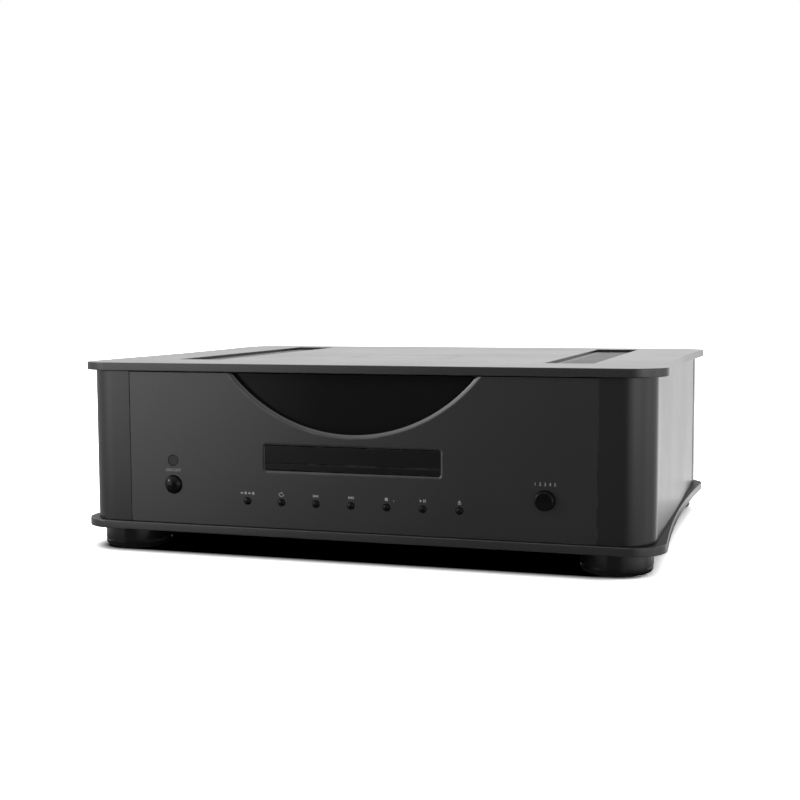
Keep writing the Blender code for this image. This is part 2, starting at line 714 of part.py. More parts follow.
def make_transport_base():
    """Plate under the disc drive, with legs, a stud for the loading gear and two hinge ears."""
    shape = bmesh.new()
    add_block(shape, (-BASE_HALF, BASE_HALF), BASE_Y, BASE_Z)
    base = piece("transport_base", shape, STEEL)
    added = bmesh.new()
    for x in (-BASE_LEG_X, BASE_LEG_X):
        for y in BASE_LEG_Y:
            z_range = (WALL_LOW + GAP, BASE_Z[0] + 0.0005)
            add_block(added, (x - 0.0035, x + 0.0035), (y - 0.004, y + 0.004), z_range)
    low = BASE_Z[0] + 0.001
    shoulder = PULLEY_Z[0] - GAP
    pin = PINION_BORE - GAP
    stud = [(0, low), (2 * pin, low), (2 * pin, shoulder), (pin, shoulder), (pin, STUD_TOP), (0, STUD_TOP)]
    add_turned(added, stud, "Z", (PINION_X, PINION_Y), 12)
    for side in (-1, 1):
        x_range = sorted(side * x for x in HINGE_EAR_X)
        add_block(added, x_range, (HINGE_Y - 0.005, HINGE_Y + 0.005), (low, HINGE_Z + 0.0035))
    combine(base, "UNION", added)
    holes = bmesh.new()
    for side in (-1, 1):
        x_range = sorted(side * x for x in (HINGE_EAR_X[0] - 0.001, HINGE_EAR_X[1] + 0.001))
        add_rod(holes, HINGE_BORE, "X", (HINGE_Y, HINGE_Z), *x_range)
    combine(base, "DIFFERENCE", holes)


def pulley_profile(groove, low, high):
    """Grooved wheel profile between two levels."""
    rim = groove + 0.0014
    return [
        (0, low),
        (rim, low),
        (rim, low + 0.0008),
        (groove, low + 0.0010),
        (groove, high - 0.0010),
        (rim, high - 0.0008),
        (rim, high),
        (0, high),
    ]


def make_loading_gear():
    """Belt wheel and pinion in one piece, turning on the stud of the base."""
    centre = (PINION_X, PINION_Y)
    shape = bmesh.new()
    add_turned(shape, pulley_profile(WHEEL_RADIUS, *PULLEY_Z), "Z", centre, 28)
    gear = piece("loading_gear", shape, NYLON, (*centre, PULLEY_Z[0]), smooth=True)
    teeth = bmesh.new()
    add_prism(teeth, gear_outline(PINION_TEETH, centre), "Z", *PINION_Z)
    combine(gear, "UNION", teeth)
    bore = bmesh.new()
    add_rod(bore, PINION_BORE, "Z", centre, PULLEY_Z[0] - 0.001, PINION_Z[1] + 0.001)
    combine(gear, "DIFFERENCE", bore)


def make_loading_motor():
    """Motor can on the base, and the small pulley on its shaft."""
    centre = (PULLEY_X, PULLEY_Y)
    shape = bmesh.new()
    add_rod(shape, LOADING_MOTOR_RADIUS, "Z", centre, BASE_Z[1] + GAP, PULLEY_Z[0] - 0.0005, sides=24)
    piece("loading_motor", shape, STEEL, smooth=True)
    pulley = bmesh.new()
    add_turned(pulley, pulley_profile(PULLEY_RADIUS, *PULLEY_Z), "Z", centre, 20)
    piece("motor_pulley", pulley, BRASS, (*centre, PULLEY_Z[0]), smooth=True)


def belt_outline(grow):
    """Outline round both pulleys at a distance from their grooves."""
    dx = PULLEY_X - PINION_X
    dy = PULLEY_Y - PINION_Y
    heading = math.degrees(math.atan2(dy, dx))
    spread = math.degrees(math.acos((WHEEL_RADIUS - PULLEY_RADIUS) / math.hypot(dx, dy)))
    wheel = arc((PINION_X, PINION_Y), WHEEL_RADIUS + grow, heading + spread, heading + 360 - spread, 18)
    pulley = arc((PULLEY_X, PULLEY_Y), PULLEY_RADIUS + grow, heading - spread, heading + spread, 10)
    return wheel + pulley


def make_loading_belt():
    """Rubber belt from the motor pulley to the loading gear."""
    shape = bmesh.new()
    add_prism(shape, belt_outline(GAP + BELT_THICKNESS), "Z", *BELT_Z)
    belt = piece("loading_belt", shape, RUBBER, smooth=True)
    inside = bmesh.new()
    add_prism(inside, belt_outline(GAP), "Z", BELT_Z[0] - 0.001, BELT_Z[1] + 0.001)
    combine(belt, "DIFFERENCE", inside)


# Disc reading unit


def make_clamp():
    """Bridge across the rails, and the puck that it holds over the disc."""
    shape = bmesh.new()
    y_range = (DISC_Y - BRIDGE_HALF_DEPTH, DISC_Y + BRIDGE_HALF_DEPTH)
    add_block(shape, (-RAIL_X[1], RAIL_X[1]), y_range, BRIDGE_Z)
    bridge = piece("clamp_bridge", shape, STEEL)
    hole = bmesh.new()
    add_rod(hole, BRIDGE_HOLE, "Z", (0, DISC_Y), BRIDGE_Z[0] - 0.001, BRIDGE_Z[1] + 0.001, sides=28)
    combine(bridge, "DIFFERENCE", hole)
    low, high = PUCK_Z
    under, over = BRIDGE_Z[0] - 0.0004, BRIDGE_Z[1] + 0.0004
    neck = BRIDGE_HOLE - 0.0005
    profile = [(0, low + 0.0026), (0.0080, low + 0.0026), (0.0080, low), (0.0140, low), (0.0140, under)]
    profile += [(neck, under), (neck, over), (0.0155, over), (0.0155, high), (0, high)]
    puck = bmesh.new()
    add_turned(puck, profile, "Z", (0, DISC_Y), 28)
    piece("clamp_puck", puck, PLASTIC, (0, DISC_Y, low), smooth=True)


def make_traverse_plate():
    """Lifting plate with its hinge pin and four lugs between which the two rods lie."""
    shape = bmesh.new()
    add_block(shape, (-TRAVERSE_HALF, TRAVERSE_HALF), TRAVERSE_Y, TRAVERSE_Z)
    plate = piece("traverse_plate", shape, STEEL, (0, HINGE_Y, HINGE_Z))
    stem_hole = bmesh.new()
    stem_z = (TRAVERSE_Z[0] - 0.001, TRAVERSE_Z[1] + 0.001)
    add_rod(stem_hole, 0.005, "Z", (0, DISC_Y), *stem_z, sides=16)
    combine(plate, "DIFFERENCE", stem_hole)
    lugs = bmesh.new()
    lug_z = (TRAVERSE_Z[1] - 0.0002, LUG_TOP)
    for side in (-1, 1):
        x_range = sorted(side * x for x in (0.010, 0.0165))
        for y_range in LUG_Y:
            add_block(lugs, x_range, y_range, lug_z)
        ear = sorted(side * x for x in (0.018, 0.0235))
        add_block(lugs, ear, (HINGE_Y - 0.004, HINGE_Y + 0.004), (0.062, TRAVERSE_Z[0] + 0.0004))
    combine(plate, "UNION", lugs)
    pin = bmesh.new()
    add_rod(pin, HINGE_PIN_RADIUS, "X", (HINGE_Y, HINGE_Z), -HINGE_EAR_X[1] - 0.001, HINGE_EAR_X[1] + 0.001)
    combine(plate, "UNION", pin)


def make_spindle():
    """Spindle motor under the traverse plate, and the turntable with its centring cone."""
    shape = bmesh.new()
    z_range = (SPINDLE_MOTOR_LOW, TRAVERSE_Z[0] - GAP)
    add_rod(shape, SPINDLE_MOTOR_RADIUS, "Z", (0, DISC_Y), *z_range, sides=24)
    piece("spindle_motor", shape, STEEL, smooth=True)
    low = TRAVERSE_Z[0] + 0.0001
    profile = [(0, low), (0.0025, low), (0.0025, TURNTABLE_LOW), (TURNTABLE_RADIUS, TURNTABLE_LOW)]
    profile += [(TURNTABLE_RADIUS, SPINDLE_TOP), (0.0073, SPINDLE_TOP), (0.0066, CONE_TOP - 0.0006)]
    profile += [(0.0045, CONE_TOP), (0, CONE_TOP)]
    table = bmesh.new()
    add_turned(table, profile, "Z", (0, DISC_Y), 28)
    piece("turntable", table, PLASTIC, (0, DISC_Y, SPINDLE_TOP), smooth=True)


def make_sled():
    """Optical sled on its lead screw and guide rod, with the lens in a well on top."""
    shape = bmesh.new()
    add_block(shape, (-SLED_HALF, SLED_HALF), SLED_Y, SLED_Z)
    sled = piece("optical_sled", shape, PLASTIC)
    cuts = bmesh.new()
    for x in (-ROD_X, ROD_X):
        bore_y = (SLED_Y[0] - 0.001, SLED_Y[1] + 0.001)
        add_rod(cuts, ROD_RADIUS + GAP, "Y", (x, ROD_Z), *bore_y)
    add_rod(cuts, LENS_WELL[0], "Z", (0, LENS_Y), LENS_WELL[1], SLED_Z[1] + 0.001, sides=16)
    combine(sled, "DIFFERENCE", cuts)
    lens = bmesh.new()
    low = LENS_WELL[1] + 0.0008
    radius = LENS_WELL[0] - 0.0006
    profile = [(0, low), (radius, low), (radius, low + 0.0022), (0.0014, low + 0.0025), (0, low + 0.0026)]
    add_turned(lens, profile, "Z", (0, LENS_Y), 16)
    piece("lens", lens, SMOKED, smooth=True)
    for name, x in (("sled_screw", -ROD_X), ("sled_guide_rod", ROD_X)):
        rod = bmesh.new()
        add_rod(rod, ROD_RADIUS, "Y", (x, ROD_Z), *ROD_Y)
        piece(name, rod, STEEL, (x, ROD_Y[0], ROD_Z), smooth=True)


# Electronics


def make_circuit_board(name, area, blocks, cans):
    """Board with its tall parts: blocks are (x, y, width, depth, height), cans (x, y, radius, height)."""
    top = BOARD_LOW + BOARD_THICKNESS
    shape = bmesh.new()
    add_block(shape, *area, (BOARD_LOW, top))
    board = piece(name, shape, BOARD_GREEN)
    parts = bmesh.new()
    for x, y, width, depth, height in blocks:
        x_range = (x - width / 2, x + width / 2)
        y_range = (y - depth / 2, y + depth / 2)
        add_block(parts, x_range, y_range, (top - 0.0005, top + height))
    for x, y, radius, height in cans:
        add_rod(parts, radius, "Z", (x, y), top - 0.0005, top + height, sides=16)
    combine(board, "UNION", parts)


def make_boards():
    """Audio board at the back right, and power board at the left with its filter capacitors."""
    chips = [(x, 0.070, 0.014, 0.014, 0.002) for x in (0.000, 0.040, 0.080)]
    sinks = [(x, 0.125, 0.030, 0.012, 0.022) for x in (0.030, 0.085)]
    filters = [(0.118 + 0.022 * i, y, 0.007, 0.020) for i in range(2) for y in (0.060, 0.085)]
    make_circuit_board("audio_board", AUDIO_BOARD, chips + sinks, filters)
    cans = [(x, y, 0.0125, 0.035) for x in (-0.142, -0.108) for y in (-0.070, -0.036)]
    rectifier = [(-0.125, -0.110, 0.040, 0.010, 0.024)]
    make_circuit_board("power_board", POWER_BOARD, rectifier, cans)


def make_transformer():
    """Ring transformer with its clamping dish and centre bolt."""
    low = WALL_LOW + GAP
    radius, top = TRANSFORMER_RADIUS, TRANSFORMER_TOP
    dish, bolt = top + 0.002, top + 0.007
    profile = [(0, low), (radius - 0.005, low), (radius, low + 0.005), (radius, top - 0.005)]
    profile += [(radius - 0.005, top), (0.030, top), (0.030, dish), (0.005, dish), (0.005, bolt), (0, bolt)]
    shape = bmesh.new()
    add_turned(shape, profile, "Z", TRANSFORMER_PLACE, 32)
    piece("power_transformer", shape, PLASTIC, smooth=True)


def make_power_inlet():
    """Mains inlet with a flange outside the rear panel and an open socket."""
    wall = REAR_PANEL_Y[1] + GAP
    shape = bmesh.new()
    sizes = (INLET_FLANGE, INLET_BODY, INLET_SOCKET)
    flange, block, hollow = (
        ((INLET_X - x, INLET_X + x), (SOCKET_Z - z, SOCKET_Z + z)) for x, z in sizes
    )
    add_prism(shape, rounded_rectangle(*flange, 0.003, 3), "Y", wall, wall + 0.003)
    inlet = piece("power_inlet", shape, PLASTIC)
    body = bmesh.new()
    add_prism(body, rectangle(*block), "Y", INLET_BACK, wall + 0.001)
    combine(inlet, "UNION", body)
    socket = bmesh.new()
    add_prism(socket, rectangle(*hollow), "Y", INLET_FLOOR, wall + 0.005)
    combine(inlet, "DIFFERENCE", socket)


def make_signal_sockets():
    """Round phono sockets through the rear panel."""
    wall = REAR_PANEL_Y[1] + GAP
    end = BACK_EDGE - 0.001
    radius, rim = SOCKET_RADIUS, SOCKET_RADIUS + 0.0015
    profile = [(0, SOCKET_BACK), (radius, SOCKET_BACK), (radius, wall), (rim, wall), (rim, wall + 0.0017)]
    profile += [(0.0042, wall + 0.0017), (0.0042, end), (0.0018, end), (0.0018, 0.1665), (0, 0.1665)]
    for name, x in SOCKET_X.items():
        shape = bmesh.new()
        add_turned(shape, profile, "Y", (x, SOCKET_Z), 20)
        piece(name, shape, BRASS, smooth=True)


def clear_scene():
    """Empties the scene before the model is made."""
    for thing in list(bpy.data.objects):
        bpy.data.objects.remove(thing, do_unlink=True)


def make_case():
    """Everything that the outside of the case is made of."""
    make_bottom_plate()
    make_top_plate()
    make_badge_plate()
    make_front_panel()
    make_rear_panel()
    for side_name, side in (("left", -1), ("right", 1)):
        make_side_panel(f"{side_name}_side_panel", side)
        make_vent_grille(f"{side_name}_vent_grille", side)
        for end_name, end in (("front", -1), ("rear", 1)):
            make_post(f"{end_name}_{side_name}_post", side, end)
            make_foot(f"{end_name}_{side_name}", side * FOOT_X, MIDDLE_Y + end * FOOT_REACH)


def main():
    """Makes the whole player."""
    clear_scene()
    make_case()
    make_power_button()
    make_selector()
    make_small_buttons()
    make_receiver_window()
    make_control_board()
    make_display()
    make_disc_tray()
    make_tray_front()
    make_tray_rail("left_tray_rail", -1)
    make_tray_rail("right_tray_rail", 1)
    make_transport_base()
    make_loading_gear()
    make_loading_motor()
    make_loading_belt()
    make_clamp()
    make_traverse_plate()
    make_spindle()
    make_sled()
    make_boards()
    make_transformer()
    make_power_inlet()
    make_signal_sockets()


main()
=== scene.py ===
"""Satin black disc player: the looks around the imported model.

Laid out as an add-on and run as a script. Metres, front towards -Y, up is +Z, standing on Z = 0.
"""

import math

import bmesh
import bpy
from bpy.props import FloatProperty, FloatVectorProperty, IntProperty, PointerProperty
from mathutils import Euler, Matrix, Vector


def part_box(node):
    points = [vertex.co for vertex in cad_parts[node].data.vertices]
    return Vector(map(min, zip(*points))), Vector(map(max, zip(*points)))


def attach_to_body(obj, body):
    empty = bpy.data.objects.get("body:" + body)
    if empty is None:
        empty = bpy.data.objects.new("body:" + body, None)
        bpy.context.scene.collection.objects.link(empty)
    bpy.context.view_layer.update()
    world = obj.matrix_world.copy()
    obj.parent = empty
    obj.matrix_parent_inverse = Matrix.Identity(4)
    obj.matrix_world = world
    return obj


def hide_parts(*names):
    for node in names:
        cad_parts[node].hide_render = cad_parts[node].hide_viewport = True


bl_info = {
    "name": "Satin disc player",
    "version": (1, 0, 0),
    "blender": (4, 5, 0),
    "location": "View3D > Sidebar > Disc player",
    "description": "Dresses the packed disc player: case, front, drawer, controls, back and studio",
    "category": "Object",
}

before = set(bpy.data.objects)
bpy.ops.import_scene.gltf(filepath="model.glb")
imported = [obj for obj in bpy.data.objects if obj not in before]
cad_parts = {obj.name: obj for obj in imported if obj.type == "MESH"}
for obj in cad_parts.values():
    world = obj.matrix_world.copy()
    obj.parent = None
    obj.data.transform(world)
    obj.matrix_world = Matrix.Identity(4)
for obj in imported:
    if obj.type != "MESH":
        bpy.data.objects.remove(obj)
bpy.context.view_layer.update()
GAP = 0.0003  # air between neighbouring solids
OVER = 0.002  # how far a cutter passes the faces that it opens
SHEET = 0.006  # thickness of the two plates
SIDES = (("left", -1), ("right", 1))
ENDS = (("front", -1), ("rear", 1))


def middle(node):
    """Centre of a CAD node's box."""
    low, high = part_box(node)
    return (low + high) / 2


def spans(node):
    """The three ranges of a CAD node's box."""
    low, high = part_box(node)
    return tuple(zip(low, high))


def centre_of(a, b):
    """Middle of a rectangle from its two ranges."""
    return sum(a) / 2, sum(b) / 2


def around(centre, half):
    """Range about a middle."""
    return centre - half, centre + half


def widened(span, by):
    """A range with both ends moved outwards, or inwards for a negative value."""
    return span[0] - by, span[1] + by


# Sizes and colours that a user would change


class CaseSettings(bpy.types.PropertyGroup):
    """Plates, posts, walls and feet."""

    edge: FloatProperty(
        name="Edge rounding", description="Rounding on the edges of the plates", default=0.0006, unit="LENGTH"
    )
    corner: FloatProperty(
        name="Plate corner", description="Radius of the plates' corners", default=0.025, unit="LENGTH"
    )
    waist: FloatProperty(
        name="Waist", description="Width of the plates halfway along their sides", default=0.4294,
        unit="LENGTH",
    )
    post_radius: FloatProperty(
        name="Post radius", description="Radius of the round edge of a post", default=0.023, unit="LENGTH"
    )
    black: FloatVectorProperty(
        name="Satin black", description="Colour of the anodised case", subtype="COLOR", size=3,
        default=(0.0105, 0.0105, 0.011),
    )
    roughness: FloatProperty(
        name="Satin roughness", description="Roughness of the anodised case", default=0.30, subtype="FACTOR"
    )


class FrontSettings(bpy.types.PropertyGroup):
    """Fascia, window and printed marks."""

    arc_radius: FloatProperty(
        name="Arc radius", description="Radius of the arched opening behind its chamfer", default=0.1199,
        unit="LENGTH",
    )
    arc_centre: FloatProperty(
        name="Arc centre", description="Height of the arched opening's centre", default=0.2126, unit="LENGTH"
    )
    slot_bevel: FloatProperty(
        name="Slot bevel", description="Width of the drawer slot's bevel", default=0.0018, unit="LENGTH"
    )
    print_colour: FloatVectorProperty(
        name="Print", description="Colour of the printed marks", subtype="COLOR", size=3,
        default=(0.16, 0.163, 0.166),
    )
    window_colour: FloatVectorProperty(
        name="Window", description="Colour of the smoked window", subtype="COLOR", size=3,
        default=(0.0040, 0.0040, 0.0042),
    )


class VentSettings(bpy.types.PropertyGroup):
    """Grilles in the top plate."""

    slats: IntProperty(name="Slats", description="Number of slots in one grille", default=42, min=4, max=80)
    open_share: FloatProperty(
        name="Open share", description="Share of the grille that is open", default=0.4, subtype="FACTOR"
    )
    metal: FloatVectorProperty(
        name="Grille", description="Colour of the grille", subtype="COLOR", size=3,
        default=(0.02, 0.02, 0.021),
    )


class ControlSettings(bpy.types.PropertyGroup):
    """Knob, buttons and their gloss."""

    gloss: FloatVectorProperty(
        name="Gloss black", description="Colour of knob and buttons", subtype="COLOR", size=3,
        default=(0.0025, 0.0025, 0.0027),
    )
    dome: FloatProperty(
        name="Dome", description="How far the power button's dome stands out", default=0.004, unit="LENGTH"
    )


class StageSettings(bpy.types.PropertyGroup):
    """Floor, lamp and surroundings."""

    floor: FloatVectorProperty(
        name="Floor", description="Colour of the floor", subtype="COLOR", size=3, default=(0.85, 0.85, 0.85)
    )
    seen_floor: FloatVectorProperty(
        name="Seen floor", description="Colour of the floor to the camera", subtype="COLOR", size=3,
        default=(3.0, 3.0, 3.0), max=4.0,
    )
    ambient: FloatProperty(name="Ambient", description="Level of the surroundings", default=1.0)
    key_power: FloatProperty(
        name="Key lamp", description="Power of the large lamp at the left front", default=20.0, unit="POWER"
    )


# Outlines and shapes


def arc(centre, radius, first, last, steps):
    """Points of an arc, angles in degrees, both ends included."""
    points = []
    for i in range(steps + 1):
        angle = math.radians(first + (last - first) * i / steps)
        points.append((centre[0] + radius * math.cos(angle), centre[1] + radius * math.sin(angle)))
    return points


def rectangle(a, b):
    """Corners of a rectangle from its two ranges."""
    return [(a[0], b[0]), (a[1], b[0]), (a[1], b[1]), (a[0], b[1])]


def rounded_rectangle(a, b, radius, steps=6):
    """Outline of a rectangle with round corners."""
    corners = ((a[1], b[0], -90), (a[1], b[1], 0), (a[0], b[1], 90), (a[0], b[0], 180))
    outline = []
    for x, y, start in corners:
        centre = (x - math.copysign(radius, x - sum(a) / 2), y - math.copysign(radius, y - sum(b) / 2))
        outline += arc(centre, radius, start, start + 90, steps)
    return outline


def lift(outline, axis, level):
    """A flat outline placed in space, square to an axis at a level."""
    if axis == "X":
        return [(level, a, b) for a, b in outline]
    if axis == "Y":
        return [(a, level, b) for a, b in outline]
    return [(a, b, level) for a, b in outline]


def join_rings(shape, rings, closed):
    """Walls through rings of equal length; closed joins the last ring to the first."""
    loops = [[shape.verts.new(point) for point in ring] for ring in rings]
    following = loops[1:] + loops[:1] if closed else loops[1:]
    for one, two in zip(loops, following):
        for i in range(len(one)):
            j = (i + 1) % len(one)
            shape.faces.new((one[i], one[j], two[j], two[i]))
    return loops


def add_loft(shape, rings):
    """A closed body through rings of equal length, with both ends capped."""
    loops = join_rings(shape, rings, closed=False)
    shape.faces.new(loops[0])
    shape.faces.new(loops[-1])


def add_prism(shape, outline, axis, low, high):
    """An outline extruded along an axis."""
    add_loft(shape, [lift(outline, axis, low), lift(outline, axis, high)])


def add_block(shape, x, y, z):
    """A box from its three ranges."""
    add_prism(shape, rectangle(x, y), "Z", *z)


def add_turned(shape, profile, axis, centre, sides):
    """A profile of (radius, level) points, both ends on the axis, turned about that axis."""
    direction = {"X": (1, 0, 0), "Y": (0, 1, 0), "Z": (0, 0, 1)}[axis]
    pivot = lift([centre], axis, 0.0)[0]
    points = [lift([(centre[0] + radius, centre[1])], axis, level)[0] for radius, level in profile]
    verts = [shape.verts.new(point) for point in points]
    edges = [shape.edges.new(pair) for pair in zip(verts, verts[1:])]
    turn = {"cent": pivot, "axis": direction, "angle": math.tau, "steps": sides}
    bmesh.ops.spin(shape, geom=verts + edges, use_merge=True, **turn)
    bmesh.ops.remove_doubles(shape, verts=shape.verts, dist=1e-6)


def add_rod(shape, radius, axis, centre, low, high, sides=32):
    """A plain round bar along an axis."""
    add_turned(shape, [(0, low), (radius, low), (radius, high), (0, high)], axis, centre, sides)


def body_of_shapes(*calls):
    """A bmesh filled by (function, arguments) pairs."""
    shape = bmesh.new()
    for make, *values in calls:
        make(shape, *values)
    return shape


# From a shape to a piece


def raw_object(name, shape):
    """An object from a finished shape, with its normals outward."""
    bmesh.ops.recalc_face_normals(shape, faces=shape.faces)
    mesh = bpy.data.meshes.new(name)
    shape.to_mesh(mesh)
    shape.free()
    made = bpy.data.objects.new(name, mesh)
    bpy.context.scene.collection.objects.link(made)
    return made


def evaluated_mesh(made):
    """The object's mesh with its modifiers applied."""
    graph = bpy.context.evaluated_depsgraph_get()
    return bpy.data.meshes.new_from_object(made.evaluated_get(graph), depsgraph=graph)


def bake(made):
    """Applies the modifiers to the object's own mesh."""
    mesh = evaluated_mesh(made)
    made.modifiers.clear()
    made.data = mesh


def even_shading(made, angle):
    """Smooth faces, sharp past the angle, with the large faces kept flat."""
    made.data.shade_smooth()
    made.data.set_sharp_from_angle(angle=math.radians(angle))
    weighted = made.modifiers.new("Flat faces", "WEIGHTED_NORMAL")
    weighted.keep_sharp = True
    bake(made)


def piece(
    name, shape, material, body="chassis", stands_for=(), cuts=(), bevel=0.0, steps=2, angle=35,
):
    """A finished piece: cut, bevelled, shaded, painted and riding on its body."""
    made = raw_object(name, shape)
    helpers = [raw_object(f"{name}_cut", cut) for cut in cuts]
    for helper in helpers:
        boolean = made.modifiers.new("Cut", "BOOLEAN")
        boolean.operation = "DIFFERENCE"
        boolean.solver = "EXACT"
        boolean.object = helper
    if bevel:
        rounding = made.modifiers.new("Edges", "BEVEL")
        rounding.width = bevel
        rounding.segments = steps
        rounding.limit_method = "ANGLE"
        rounding.angle_limit = math.radians(angle)
    if made.modifiers:
        bake(made)
    for helper in helpers:
        bpy.data.objects.remove(helper)
    even_shading(made, 40)
    made.data.name = name
    return attach(made, material, body, stands_for)


def attach(made, material, body, stands_for=()):
    """Paints a piece and lets it ride on its CAD body, in place of the nodes that it stands for."""
    made.data.materials.clear()
    made.data.materials.append(material)
    if stands_for:
        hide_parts(*stands_for)
    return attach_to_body(made, body)


def paint_some(made, material, chosen):
    """A second material on the faces of a piece for which a test holds."""
    made.data.materials.append(material)
    for face in made.data.polygons:
        if chosen(face):
            face.material_index = 1


# Shader groups


# Numbers of the Mix node's sockets for colours
MIX_FACTOR, MIX_FIRST, MIX_SECOND, MIX_RESULT = 0, 6, 7, 2


def new_group(name, sockets_in, sockets_out):
    """An empty shader group with named sockets, and its two end nodes."""
    tree = bpy.data.node_groups.new(name, "ShaderNodeTree")
    for label, kind, default in sockets_in:
        tree.interface.new_socket(label, in_out="INPUT", socket_type=kind).default_value = default
    for label, kind in sockets_out:
        tree.interface.new_socket(label, in_out="OUTPUT", socket_type=kind)
    return tree, tree.nodes.new("NodeGroupInput"), tree.nodes.new("NodeGroupOutput")


def node(tree, kind, links=(), **settings):
    """A node with its settings; links are (input socket, source socket or value) pairs."""
    made = tree.nodes.new(kind)
    for name, value in settings.items():
        setattr(made, name, value)
    for socket, source in links:
        if isinstance(source, bpy.types.NodeSocket):
            tree.links.new(source, made.inputs[socket])
        else:
            made.inputs[socket].default_value = source
    return made


def calculate(tree, operation, *values):
    """Result of one math node."""
    return node(tree, "ShaderNodeMath", list(enumerate(values)), operation=operation).outputs[0]


def reckon(tree, operation, *values):
    """Result of one vector math node."""
    return node(tree, "ShaderNodeVectorMath", list(enumerate(values)), operation=operation).outputs["Vector"]


def scaled(tree, vector, factor):
    """A vector or colour times a number."""
    links = [("Vector", vector), ("Scale", factor)]
    return node(tree, "ShaderNodeVectorMath", links, operation="SCALE").outputs["Vector"]


def blend(tree, factor, first, second):
    """Mix of two colours."""
    links = [(MIX_FACTOR, factor), (MIX_FIRST, first), (MIX_SECOND, second)]
    return node(tree, "ShaderNodeMix", links, data_type="RGBA").outputs[MIX_RESULT]


def object_place(tree):
    """Place on the piece, in its own coordinates."""
    return node(tree, "ShaderNodeTexCoord").outputs["Object"]


def map_range(tree, value, source, target):
    """A value mapped from one range to another."""
    links = [("Value", value), ("From Min", source[0]), ("From Max", source[1])]
    links += [("To Min", target[0]), ("To Max", target[1])]
    return node(tree, "ShaderNodeMapRange", links).outputs["Result"]


def drift_group():
    """Slow changes of tone over a surface, and the mask behind them."""
    sockets = [("Colour", "NodeSocketColor", (0.5, 0.5, 0.5, 1.0)), ("Drift", "NodeSocketFloat", 0.1)]
    sockets += [("Patches", "NodeSocketFloat", 20.0)]
    outputs = [("Colour", "NodeSocketColor"), ("Mask", "NodeSocketFloat")]
    tree, entry, end = new_group("Tone drift", sockets, outputs)
    links = [("Vector", object_place(tree)), ("Scale", entry.outputs["Patches"])]
    links += [("Detail", 4.0), ("Roughness", 0.6)]
    noise = node(tree, "ShaderNodeTexNoise", links).outputs["Fac"]
    centred = calculate(tree, "SUBTRACT", noise, 0.5)
    swing = calculate(tree, "MULTIPLY", centred, entry.outputs["Drift"])
    factor = calculate(tree, "ADD", swing, 1.0)
    tree.links.new(scaled(tree, entry.outputs["Colour"], factor), end.inputs["Colour"])
    tree.links.new(noise, end.inputs["Mask"])
    return tree


def grain_group():
    """Fine surface grain, stretched for a brushed finish and even for a blasted or moulded one."""
    sockets = [("Stretch", "NodeSocketVector", (1.0, 1.0, 1.0)), ("Scale", "NodeSocketFloat", 1500.0)]
    tree, entry, end = new_group("Surface grain", sockets, [("Height", "NodeSocketFloat")])
    links = [("Vector", object_place(tree)), ("Scale", entry.outputs["Stretch"])]
    stretched = node(tree, "ShaderNodeMapping", links).outputs["Vector"]
    links = [("Vector", stretched), ("Scale", entry.outputs["Scale"]), ("Detail", 3.0), ("Roughness", 0.65)]
    noise = node(tree, "ShaderNodeTexNoise", links).outputs["Fac"]
    tree.links.new(noise, end.inputs["Height"])
    return tree


def rub_group():
    """Mask of the edges where handling has rubbed the finish."""
    sockets = [("Reach", "NodeSocketFloat", 0.0008), ("Amount", "NodeSocketFloat", 0.5)]
    tree, entry, end = new_group("Edge rub", sockets, [("Mask", "NodeSocketFloat")])
    soft = node(tree, "ShaderNodeBevel", [("Radius", entry.outputs["Reach"])], samples=4).outputs["Normal"]
    true = node(tree, "ShaderNodeNewGeometry").outputs["True Normal"]
    likeness = node(tree, "ShaderNodeVectorMath", [(0, soft), (1, true)], operation="DOT_PRODUCT")
    edge = map_range(tree, likeness.outputs["Value"], (1.0, 0.85), (0.0, 1.0))
    links = [("Vector", object_place(tree)), ("Scale", 90.0), ("Detail", 3.0)]
    patches = node(tree, "ShaderNodeTexNoise", links).outputs["Fac"]
    broken = map_range(tree, patches, (0.42, 0.68), (0.0, 1.0))
    mask = calculate(tree, "MULTIPLY", edge, broken)
    tree.links.new(calculate(tree, "MULTIPLY", mask, entry.outputs["Amount"]), end.inputs["Mask"])
    return tree


def group_node(tree, name, maker, values):
    """One of the shared groups, made at its first use, in a material with its own values."""
    made = tree.nodes.new("ShaderNodeGroup")
    made.node_tree = bpy.data.node_groups.get(name) or maker()
    for socket, value in values.items():
        made.inputs[socket].default_value = value
    return made


# Materials

EVEN = (1.0, 1.0, 1.0)
# Share of the black, share of the roughness, shine, and the grain's scale, stretch and depth
SATIN = {
    "plate": (1.15, 0.80, 0.50, 2600.0, EVEN, 0.000004),
    # bottom plate's upper faces: a rougher copy whose darker tone and lower shine paint shade on the ledge
    # round the walls
    "base": (0.90, 1.70, 0.30, 2600.0, EVEN, 0.000006),
    "fascia": (1.00, 0.85, 0.50, 900.0, (0.03, 1.0, 1.6), 0.000006),
    "cut": (1.30, 0.80, 0.85, 1400.0, EVEN, 0.000003),
    "post": (0.70, 0.70, 0.38, 900.0, (1.6, 1.6, 0.03), 0.000006),
    "foot": (0.35, 0.30, 0.50, 1400.0, (0.3, 0.3, 1.6), 0.000004),
    "wall": (1.00, 0.75, 0.50, 2600.0, EVEN, 0.000004),
}


